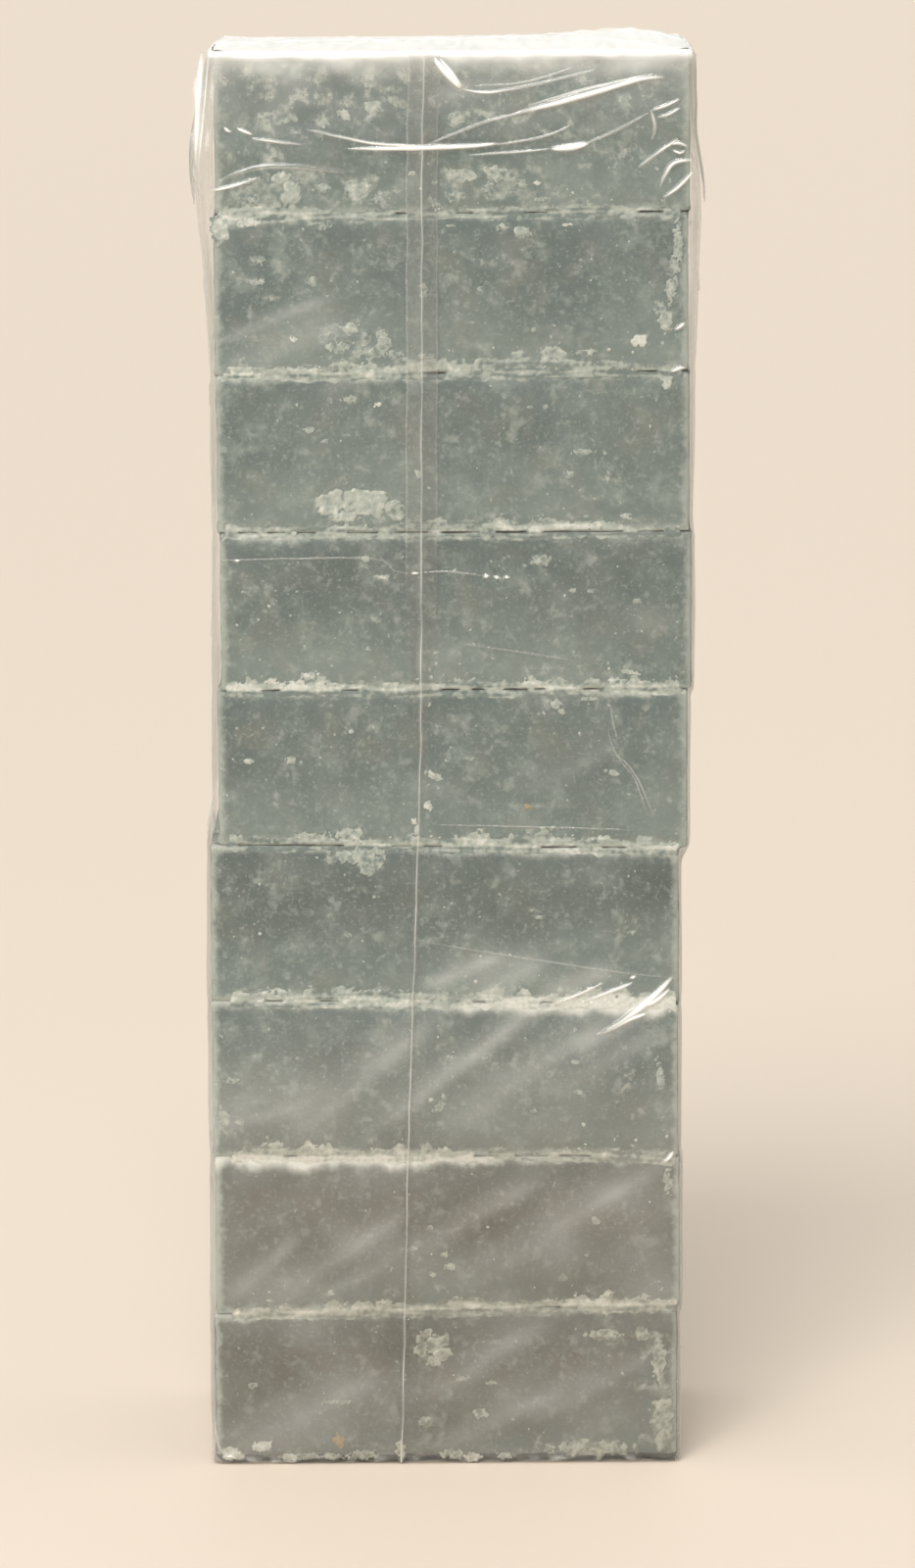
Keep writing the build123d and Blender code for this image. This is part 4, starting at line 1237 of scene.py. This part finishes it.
creases = {
    # on the front: points (X, Z, brightness of the painted highlight), width, height
    "front": [
        ([(-2.6, 230.6, 1), (-0.8, 228.6, 1), (1.7, 225.8, 0.9)], 1.0, 0.5),
        ([(-1.7, 230.6, 0.8), (0.2, 228.4, 0.9), (1.9, 226.0, 0.8)], 0.5, 0.3),
        ([(1.5, 225.8, 0.9), (5.2, 225.2, 0.9), (8.7, 225.5, 0.5), (16, 226.9, 0.3),
          (23.2, 228.7, 0.5)], 0.42, 0.28),
        ([(4, 226.2, 0.2), (12, 226.8, 0.3), (19.5, 229.0, 0.35)], 0.3, 0.15),
        ([(-3.6, 216.9, 0.5), (0, 218.4, 0.35), (6, 220.6, 0.4), (12, 222.1, 0.6)], 0.38, 0.28),
        ([(10, 221.7, 0.5), (16, 223.2, 0.95), (24, 225.4, 1), (30, 227.1, 1),
          (34.3, 227.5, 0.9)], 0.75, 0.5),
        ([(12, 222.9, 0.4), (22, 225.7, 0.7), (32.5, 228.0, 0.6)], 0.3, 0.2),
        ([(-16.5, 216.3, 0.7), (-10, 216.3, 0.9), (-4.6, 216.4, 1), (2, 216.6, 1),
          (7.8, 217.0, 0.9)], 0.62, 0.36),
        ([(7.4, 216.9, 0.6), (13, 217.7, 0.4), (16, 218.5, 0.5), (19.1, 219.8, 0.7)], 0.32, 0.2),
        ([(3, 215.2, 0.2), (9, 215.6, 0.5), (16, 216.1, 0.6)], 0.35, 0.2),
        ([(16.0, 216.1, 0.8), (19.3, 216.4, 1), (22.1, 217.0, 1)], 0.85, 0.42),
        ([(21.6, 216.9, 0.6), (27, 219.3, 0.35), (31.6, 221.8, 0.25)], 0.4, 0.25),
        ([(-23.0, 219.4, 0.6), (-17, 218.1, 0.6), (-11.8, 217.1, 0.7), (-5, 216.7, 0.9)], 0.4, 0.32),
        ([(-36.2, 219.9, 0.9), (-35.6, 219.3, 0.9), (-34.9, 219.0, 0.4)], 0.4, 0.3),
        ([(-39.5, 231.6, 0.8), (-39.9, 228.0, 0.85), (-40.4, 221.5, 0.8), (-40.8, 213.5, 0.4)], 0.95, 0.25),
        ([(-38.6, 231.4, 0.5), (-38.9, 227.0, 0.6), (-39.5, 221.0, 0.7), (-40.4, 213.0, 0.4)], 0.3, 0.3),
        ([(-34.2, 219.6, 1), (-33.0, 219.2, 0.9), (-31.6, 218.6, 0.6)], 0.42, 0.3),
        ([(-31.8, 218.0, 0.6), (-28, 217.5, 0.7), (-23.6, 217.0, 0.3)], 0.36, 0.25),
        ([(-38.2, 209.7, 0.6), (-34.5, 210.6, 0.8), (-30.5, 211.8, 0.2)], 0.45, 0.32),
        ([(-37.0, 211.2, 0.1), (-32, 213.2, 0.12), (-26, 213.6, 0.1), (-16.8, 212.6, 0.1)], 0.9, 0.3),
        ([(32.0, 222.2, 0.5), (34, 222.8, 0.7), (36.6, 224.0, 0.7)], 0.42, 0.35),
        ([(32.9, 221.0, 0.4), (34.6, 221.5, 0.6), (36.6, 222.6, 0.75)], 0.4, 0.3),
        ([(32.0, 222.2, 0.5), (32.4, 220.8, 0.5), (32.6, 219.4, 0.4), (32.2, 217.6, 0.1)], 0.5, 0.3),
        ([(30.0, 213.1, 0.4), (33, 215.4, 0.6), (36.3, 217.6, 0.9)], 0.45, 0.4),
        ([(35.2, 216.7, 0.8), (36.4, 217.0, 0.9), (37.9, 216.4, 0.6)], 0.4, 0.35),
        ([(35.4, 215.9, 0.9), (36.6, 215.4, 0.9), (37.4, 215.8, 0.7)], 0.35, 0.3),
        ([(33.4, 210.0, 0.3), (34.3, 212.0, 0.6), (35.7, 213.8, 0.8), (38.7, 214.3, 0.7)], 0.5, 0.4),
        ([(34.0, 208.3, 0.5), (36.2, 209.8, 0.8), (38.7, 212.3, 0.8)], 0.45, 0.4),
        ([(35.8, 187.0, 0.6), (37.4, 188.2, 0.9)], 0.5, 0.35),
        ([(35.2, 180.3, 0.8), (36.6, 180.9, 1), (37.6, 181.0, 0.5)], 0.4, 0.35),
        ([(-37.7, 150.2, 0.1), (-25, 150.4, 0.12), (-12.5, 150.3, 0.1), (-9.2, 148.3, 0.22),
          (-5.2, 148.0, 0.2)], 0.24, 0.12),
        ([(-35.4, 150.1, 0.9), (-34.2, 150.2, 0.9)], 0.3, 0.2),
        ([(-6.8, 147.9, 0.8), (-5.4, 148.0, 0.7)], 0.3, 0.2),
        ([(-5.2, 148.0, 0.2), (-1, 148.2, 0.3), (3.0, 147.8, 0.15), (5.0, 147.5, 0.3)], 0.24, 0.15),
        ([(4.8, 147.4, 1), (6.0, 147.5, 1)], 0.5, 0.3),
        ([(6.5, 147.3, 1), (7.7, 147.1, 1)], 0.46, 0.28),
        ([(8.1, 147.2, 1), (9.3, 147.2, 1)], 0.4, 0.26),
        ([(1.6, 136.4, 0.06), (11, 135.0, 0.14), (21.0, 133.4, 0.08)], 0.2, 0.1),
        ([(25.5, 126.2, 0.15), (25.8, 123.5, 0.22), (26.6, 120.6, 0.12)], 0.22, 0.12),
        ([(24.9, 122.4, 0.1), (26.0, 119.0, 0.2), (28.6, 115.0, 0.12)], 0.2, 0.1),
        ([(25.9, 118.2, 0.14), (28.2, 116.6, 0.3), (30.4, 113, 0.22), (32.5, 107.8, 0.12)], 0.22, 0.12),
        ([(27.4, 117.6, 0.1), (29.6, 113.5, 0.2), (31.3, 108.6, 0.1)], 0.2, 0.1),
        ([(-3.3, 106.8, 0.08), (12, 106.4, 0.16), (29.2, 105.8, 0.12)], 0.2, 0.1),
        ([(-4.4, 87.4, 0.08), (8.7, 85.2, 0.18), (27.0, 82.3, 0.2), (35.0, 81.4, 0.1)], 0.24, 0.12),
        ([(35.6, 81.6, 1), (33.2, 79.0, 1), (30.5, 76.6, 1), (27.0, 74.0, 0.5),
          (23.0, 71.8, 0.2)], 0.95, 0.5),
        ([(35.0, 79.4, 0.8), (32.4, 77.3, 0.9), (29.5, 76.4, 0.6)], 0.6, 0.35),
        ([(29.6, 81.6, 1), (28.4, 81.2, 0.9)], 0.45, 0.3),
        ([(29.0, 80.5, 0.6), (25, 78.9, 0.8), (21.0, 77.4, 0.4)], 0.55, 0.3),
        ([(24.4, 80.6, 0.5), (20, 78.6, 0.6), (16.4, 77.2, 0.3)], 0.5, 0.25),
        ([(31.2, 75.4, 0.8), (28.6, 74.5, 0.9), (24.2, 72.2, 0.3)], 0.6, 0.3),
        ([(-39.9, 7.5, 0.1), (-39.2, 3.2, 0.3), (-37.8, 0.9, 0.35)], 0.3, 0.2),
        ([(-38.4, 1.3, 0.7), (-37.2, 1.5, 0.6), (-36.2, 1.0, 0.3)], 0.4, 0.25),
        ([(33.8, 50.6, 0.5), (34.8, 51.3, 0.9), (35.6, 52.4, 0.7)], 0.6, 0.35),
    ],
    # across a pleat: place, height
    "profile": [(-1, 0), (-0.62, 0.08), (-0.4, 0.45), (-0.18, 1), (0.14, 0.95), (0.36, 0.45),
                (0.65, 0.06), (1, 0)],
    "step": 0.45,
    # on a face by chance: half its width, how many, how many of them near the top
    "byChance": {"back": (36, 26, 9), "left": (23, 18, 4), "right": (23, 18, 4)},
}


def curveThrough(points, step):
    # a smooth line through given points of any length, spaced evenly enough to bend well
    ends = [points[0]] + list(points) + [points[-1]]
    line = []
    for k in range(len(points) - 1):
        p0, p1, p2, p3 = (Vector(ends[k + m]) for m in range(4))
        count = max(2, int((p2 - p1).length / step))
        for m in range(count):
            t = m / count
            line.append(0.5 * ((2 * p1) + (p2 - p0) * t + (2 * p0 - 5 * p1 + 4 * p2 - p3) * t * t
                               + (3 * p1 - p0 - 3 * p2 + p3) * t * t * t))
    line.append(Vector(points[-1]))
    return line


def pleatInto(points, faces, stressAndHighlight, face, drawn, width, height):
    line = curveThrough(drawn, creases["step"])
    faces += netFaces(len(line), len(creases["profile"]), len(points), turned=True)
    for k, spot in enumerate(line):
        before = line[max(k - 1, 0)]
        after = line[min(k + 1, len(line) - 1)]
        run = Vector((after.x - before.x, after.y - before.y)).normalized()
        taper = max(0.06, math.sin(math.pi * (k / (len(line) - 1))) ** 0.6)
        wobble = 0.06 * ripple(spot.x / 2.7, spot.y / 2.7, 0.3, 14)
        tall = height * taper * (1 + 0.3 * ripple(spot.x / 3.5, spot.y / 3.5, 0.9, 15))
        bright = clamped(spot.z)
        glint = 1.0 + 0.45 * ripple(spot.x / 4, spot.y / 4, 0.6, 16)
        for side, up in creases["profile"]:
            offset = side * width * (0.25 + 0.75 * taper) * (0.7 + 0.75 * bright) + wobble
            along = spot.x - run.y * offset
            z = spot.y + run.x * offset
            points.append(filmPoint(face, along, z, tall * up + 0.02))
            # painted highlight: the pleat's ridge is whitened by its brightness and glint
            stressAndHighlight.append(clamped(1.2 * bright ** 1.2 * glint * up ** 1.3 * min(1, taper * 1.4)))


def seededCreases(face, seed):
    # folds on the faces away from the front: some near the top, the rest below the joints or anywhere
    chance = random.Random(seed)
    result = []
    half, count, nearTop = creases["byChance"][face]
    middle = stackX if face == "back" else 0
    for n in range(count):
        a = middle + chance.uniform(-half, half)
        if chance.random() < 0.5:
            z = chance.choice(levels[1:]) - chance.uniform(1.5, 9)
        else:
            z = chance.uniform(8, 222)
        if n < nearTop:
            z = chance.uniform(200, 226)
        run = chance.uniform(5, 16)
        turn = math.radians(chance.gauss(20, 24)) * chance.choice((-1, 1))
        ax = a + run * math.cos(turn)
        az = z + run * math.sin(turn)
        if abs(ax - middle) > half + 1 or not 3 < az < 229:
            continue
        bright = chance.uniform(0.2, 0.9)
        midX = (a + ax) / 2 + chance.uniform(-0.8, 0.8)
        midZ = (z + az) / 2 + chance.uniform(-0.8, 0.8)
        result.append(([(a, z, bright * 0.4), (midX, midZ, bright), (ax, az, bright * 0.5)],
                       chance.uniform(0.3, 0.65), chance.uniform(0.12, 0.3)))
    return result


def makePleats():
    points = []
    faces = []
    stressAndHighlight = []
    plan = {"front": creases["front"]}
    for seed, face in enumerate(("back", "left", "right")):
        plan[face] = seededCreases(face, 40 + seed)
    for face, drawn in plan.items():
        for line, width, height in drawn:
            pleatInto(points, faces, stressAndHighlight, face, line, width, height)
    return addFilm("filmPleats", points, faces, {"stressAndHighlight": stressAndHighlight, "veilAndReflection": 0.0})


pleats = makePleats()
print("pleats made", len(pleats.data.polygons))


# ---- lap seam down the front

lapSeam = {
    # across the strip: place from its middle, height over the film, whitening and painted highlight
    "section": [
        (-2.55, 0.03, 0.05), (-2.4, 0.07, 0.24), (-2.25, 0.05, 0.07), (-1.2, 0.05, 0.07), (-0.4, 0.06, 0.1),
        (-0.17, 0.09, 0.14), (-0.06, 0.15, 0.5), (0.06, 0.15, 0.5), (0.17, 0.09, 0.12), (0.4, 0.06, 0.05),
        (1.4, 0.05, 0.03), (2.3, 0.05, 0.04), (2.42, 0.07, 0.18), (2.55, 0.03, 0.04),
    ],
    "step": 0.7,
    "sway": 0.16,
    "outerFrom": 0.6,  # places beyond this belong to the lap's two edges
    "cling": 0.35,  # how tightly the lap is welded down: 1 leaves no gap to shine
}


def makeLapSeam():
    points = []
    stressAndHighlight = []
    section = lapSeam["section"]
    rows = 0
    z = baseZ
    while z < topZ:
        middle = lineAt(film["seam"], z, soft=False) + lapSeam["sway"] * ripple(z / 5, 0.2, 0.4, 20)
        shine = 0.85 + 0.1 * ease(120, 70, z) + 0.5 * ripple(z / 7, 0.9, 0.1, 21)
        faint = 0.1 + 0.9 * ease(140, 160, z)
        wide = 0.24 + 0.76 * ease(112, 146, z)  # the lap narrows down the column
        for place, up, white in section:
            outer = abs(place) > lapSeam["outerFrom"]
            points.append(filmPoint("front", middle + place * (wide if outer else min(1, 0.4 + wide)), z, up))
            stressAndHighlight.append(clamped(white * (faint if outer else shine)))
        rows += 1
        z += lapSeam["step"]
    layers = {"stressAndHighlight": stressAndHighlight, "veilAndReflection": 0.0, "cling": lapSeam["cling"]}
    return addFilm("lapSeamStrip", points, netFaces(rows, len(section), turned=True), layers)


seamStrip = makeLapSeam()
print("lap seam made")


# ---- film over the top: a puffed ridge with a welded fin, and ears down the narrow sides

topFilm = {
    # the ridge's height over the film's edge, by share of the width from the left
    "ridge": [(0, 0.0), (0.15, 0.25), (0.5, 0.45), (0.7, 0.9), (0.82, 1.7), (0.89, 1.9), (0.94, 1.3),
              (0.98, 0.5), (1, 0.0)],
    "columns": 180,
    "rows": 48,
    # across the fin: Y, height over the film, whitening
    "fin": [(0.0, 0.02, 0.8), (0.15, 0.3, 1), (0.8, 0.3, 0.8), (1.6, 0.35, 0.75), (2.4, 0.4, 0.8),
            (2.9, 0.5, 1)],
}

ear = {
    "reach": 25.4,  # half the pack's depth, top and foot alike
    "taper": 0.97,
    "inset": 0.4,
    "foldWidth": 1.2,
    "rows": 30,
    "columns": 36,
}


def topSide(face, y):
    # the X at which the top film meets a narrow side
    corner = film["corner"]
    side = sideSigns[face]
    share = min(1, abs(y) / (filmHalf - corner))
    rounding = max(0, abs(y) - (filmHalf - corner)) / corner
    inset = corner * (1 - math.sqrt(max(0, 1 - rounding * rounding)))
    bow = lineAt(film[face + "Bow"], topZ)
    return cornerX(face, topZ) + side * (bow * (1 - share * share) - film["foldAt"] - inset * 0.6)


def gussetAt(u, y):
    # how near a point is to the slanting creases that run from each corner to the fin
    inwards = min(u, 1 - u) * (blockWidth + 2)
    away = inwards + abs(y) - ear["reach"] + 0.9 * ripple(u * 12, y / 5, 0.2, 46)
    return math.exp(-(away / 0.9) ** 2)


def topHeight(u, y):
    half = filmHalf - film["foldAt"]
    toMiddle = max(0, 1 - abs(y) / half)
    lift = lineAt(topFilm["ridge"], u) * toMiddle ** 0.8 + 0.25 * gussetAt(u, y)
    crinkle = 0.26 * ripple(u * 14, y / 9, 0.5, 30) + 0.22 * ripple(u * 40, y / 11, 0.1, 31)
    return lift + crinkle * min(1, toMiddle * 4) * min(1, min(u, 1 - u) * 14)


def makeTopFilm():
    points = []
    veilAndReflection = []
    stressAndHighlight = []
    columns = topFilm["columns"]
    rows = topFilm["rows"]
    half = filmHalf - film["foldAt"]
    for r in range(rows + 1):
        y = -half + 2 * half * r / rows
        left = topSide("left", y)
        right = topSide("right", y)
        for c in range(columns + 1):
            u = c / columns
            points.append((left + (right - left) * u, y, topZ + film["overTop"] + topHeight(u, y)))
            # painted glare: the top film is veiled and whitened all over, more along lines and gussets
            lines = max(0, ripple(u * 62, y / 15, 0.8, 35)) ** 1.4
            veilAndReflection.append(0.95 + 0.3 * ripple(u * 9, y / 16, 0.3, 32) + 1.5 * lines)
            stressAndHighlight.append(0.08 + 0.5 * gussetAt(u, y) + 0.9 * max(0, ripple(u * 75, y / 12, 0.4, 47) - 0.25))
    faces = netFaces(rows + 1, columns + 1, turned=True)
    return addFilm("topFilm", points, faces, {"veilAndReflection": veilAndReflection, "stressAndHighlight": stressAndHighlight})


def makeTopFin():
    # the welded fin lies flat on the film, towards the back
    points = []
    stressAndHighlight = []
    columns = topFilm["columns"]
    left = topSide("left", 0)
    right = topSide("right", 0)
    for c in range(columns + 1):
        u = c / columns
        x = left + (right - left) * u
        for y, up, white in topFilm["fin"]:
            wave = 0.12 * ripple(u * 20, y, 0.2, 33)
            points.append((x, y, topZ + film["overTop"] + topHeight(u, y) + up + wave))
            stressAndHighlight.append(white * (0.6 + 0.4 * ripple(u * 25, y, 0.4, 34)))
    faces = netFaces(columns + 1, len(topFilm["fin"]))
    return addFilm("topFin", points, faces, {"stressAndHighlight": stressAndHighlight, "veilAndReflection": 0.05})


def makeTopEar(face):
    # a corner of the bag pressed into a triangle that hangs down a narrow side
    points = []
    stressAndHighlight = []
    veilAndReflection = []
    side = sideSigns[face]
    for r in range(ear["rows"] + 1):
        t = r / ear["rows"]
        z = topZ - ear["inset"] - ear["reach"] * t
        wide = -frontY * (1 - t * ear["taper"]) - ear["inset"]
        for c in range(ear["columns"] + 1):
            s = -1 + 2 * c / ear["columns"]
            fold = 1 - min(1, (1 - abs(s)) * wide / ear["foldWidth"])
            lift = 0.3 + 0.25 * t + 0.18 * ripple(s * 4, t * 5, side, 36) + 0.25 * fold
            points.append(filmPoint(face, s * wide, z, lift))
            stressAndHighlight.append(0.10 + 0.5 * fold * (0.6 + 0.4 * ripple(s * 3, t * 9, side, 37)))
            veilAndReflection.append(0.25 + 0.3 * max(0, ripple(s * 5, t * 6, side, 38)))
    faces = netFaces(ear["rows"] + 1, ear["columns"] + 1)
    if face == "right":
        faces = [quad[::-1] for quad in faces]
    return addFilm(f"topEar{face.title()}", points, faces, {"stressAndHighlight": stressAndHighlight, "veilAndReflection": veilAndReflection})


topCover = makeTopFilm()
topFin = makeTopFin()
topEarLeft = makeTopEar("left")
topEarRight = makeTopEar("right")
print("top closure made")


# ---- film under the foot, with its ears folded flat

foot = {
    "columns": 60,
    "rows": 30,
    "cling": 0.95,
    "earTaper": 0.98,
    "finDepth": 3.0,
    # each sheet: its height, how uneven it is, how whitened
    "film": (baseZ - film["underFoot"], 0.02, 0.0),
    "ear": (0.07, 0.04, 0.15),
    "fin": (0.12, 0.03, 0.4),
}


def makeFootSheet(name, kind, outline):
    # a nearly flat sheet: the outline gives its X and Y for shares u and v of its length and width
    z, uneven, white = foot[kind]
    columns = foot["columns"]
    rows = foot["rows"]
    spots = [outline(c / columns, r / rows) for c in range(columns + 1) for r in range(rows + 1)]
    points = [(x, y, z + uneven * ripple(x / 6, y / 6, z, 41)) for x, y in spots]
    veilAndReflection = [0.1 + 0.3 * max(0, ripple(x / 8, y / 8, z, 42)) for x, y in spots]
    layers = {"stressAndHighlight": white, "veilAndReflection": veilAndReflection, "cling": foot["cling"]}
    return addFilm(name, points, netFaces(columns + 1, rows + 1, turned=True), layers)


footLeft = cornerX("left", 0) + film["foldAt"]
footRight = cornerX("right", 0) - film["foldAt"]
footHalf = filmHalf - film["foldAt"]
earReach = ear["reach"]
footFilm = makeFootSheet("footFilm", "film", lambda u, v: (
    footLeft + (footRight - footLeft) * u, -footHalf + 2 * footHalf * v))
footEarLeft = makeFootSheet("footEarLeft", "ear", lambda u, v: (
    footLeft + earReach * u, (2 * v - 1) * footHalf * (1 - u * foot["earTaper"])))
footEarRight = makeFootSheet("footEarRight", "ear", lambda u, v: (
    footRight - earReach * u, (1 - 2 * v) * footHalf * (1 - u * foot["earTaper"])))
footFin = makeFootSheet("footFin", "fin", lambda u, v: (
    footLeft + earReach + (footRight - footLeft - 2 * earReach) * u, foot["finDepth"] * v))
print("foot made")

parts = [
    (sleeve, "film_sleeve"), (seamStrip, "lap_seam"), (topCover, "top_film"), (topFin, "top_cross_seal"),
    (topEarLeft, "top_ear_left"), (topEarRight, "top_ear_right"), (footFilm, "bottom_film"),
    (footEarLeft, "bottom_ear_left"), (footEarRight, "bottom_ear_right"), (footFin, "bottom_cross_seal"),
]
for piece, node in parts:
    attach(piece, "root")
    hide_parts(node)
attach(pleats, "root")


# ---- studio: floor, lamps and camera

studio = {
    "floor": colour(0.885, 0.82, 0.745),
    "floorMottle": colour(0.90, 0.84, 0.77),
    "floorHalf": 12.0,
    "keyStrength": 1.9,
    "keyAngle": math.radians(28),
    "keyTurn": (math.radians(45), 0, math.radians(-12)),
    "fillPower": 3.4,
    "fillSize": 0.5,
    "fillPlace": (-0.45, -0.8, 0.5),
    "fillAim": (0, 0, 0.13),
    "ambient": 0.66,
    "ambientColour": (0.97, 0.985, 1, 1),
    "wall": colour(0.975, 0.96, 0.93),
    "lens": 151.9,
    "cameraPlace": (0.0014, frontY * mm - 1.06, 0.2813),
    "cameraTurn": (math.radians(81), math.radians(0.28), 0),
}


def paleFloor():
    material, n = newMaterial("paleFloor")
    fine = n.noise(900, 4)
    base = n.blend(n.ramp(fine, 0.3, 0.7, 0, 0.25), studio["floor"], studio["floorMottle"])
    n.end(n.surface(base, n.ramp(fine, 0.3, 0.7, 0.55, 0.7)))
    return material


def makeFloor():
    deselectAll()
    bpy.ops.mesh.primitive_plane_add(size=2 * studio["floorHalf"], location=(0, 0, 0))
    floor = bpy.context.object
    floor.name = "floor"
    floor.data.materials.append(paleFloor())


def addToScene(name, data, turn, place=(0, 0, 0)):
    thing = bpy.data.objects.new(name, data)
    thing.location = place
    thing.rotation_euler = turn
    bpy.context.collection.objects.link(thing)
    return thing


def makeLamps():
    sun = bpy.data.lights.new("key", "SUN")
    sun.energy = studio["keyStrength"]
    sun.angle = studio["keyAngle"]
    addToScene("key", sun, studio["keyTurn"])
    area = bpy.data.lights.new("fill", "AREA")
    area.energy = studio["fillPower"]
    area.size = studio["fillSize"]
    aim = Vector(studio["fillAim"]) - Vector(studio["fillPlace"])
    addToScene("fill", area, aim.to_track_quat("-Z", "Y").to_euler(), studio["fillPlace"])


def makeWorld():
    # plain white light, and a cream wall for whatever looks or reflects that far
    world = bpy.data.worlds.new("studioWorld")
    world.use_nodes = True
    bpy.context.scene.world = world
    n = Nodes(world.node_tree, "ShaderNodeOutputWorld")
    plain = {"Color": studio["ambientColour"], "Strength": studio["ambient"]}
    light = n.add("ShaderNodeBackground", plain)[0]
    wall = n.add("ShaderNodeBackground", {"Color": studio["wall"]})[0]
    path = n.add("ShaderNodeLightPath")
    seen = n.maths("MAXIMUM", path["Is Camera Ray"], path["Is Glossy Ray"])
    seen = n.maths("MAXIMUM", seen, path["Is Transmission Ray"])
    n.end(n.mixShaders(seen, light, wall))


def makeCamera():
    lens = bpy.data.cameras.new("camera")
    lens.sensor_fit = "VERTICAL"
    lens.sensor_height = 36
    lens.lens = studio["lens"]
    lens.clip_end = 100
    camera = addToScene("camera", lens, studio["cameraTurn"], studio["cameraPlace"])
    bpy.context.scene.camera = camera


makeFloor()
makeLamps()
makeWorld()
makeCamera()
bpy.context.scene.view_settings.view_transform = "Standard"
print("studio made")
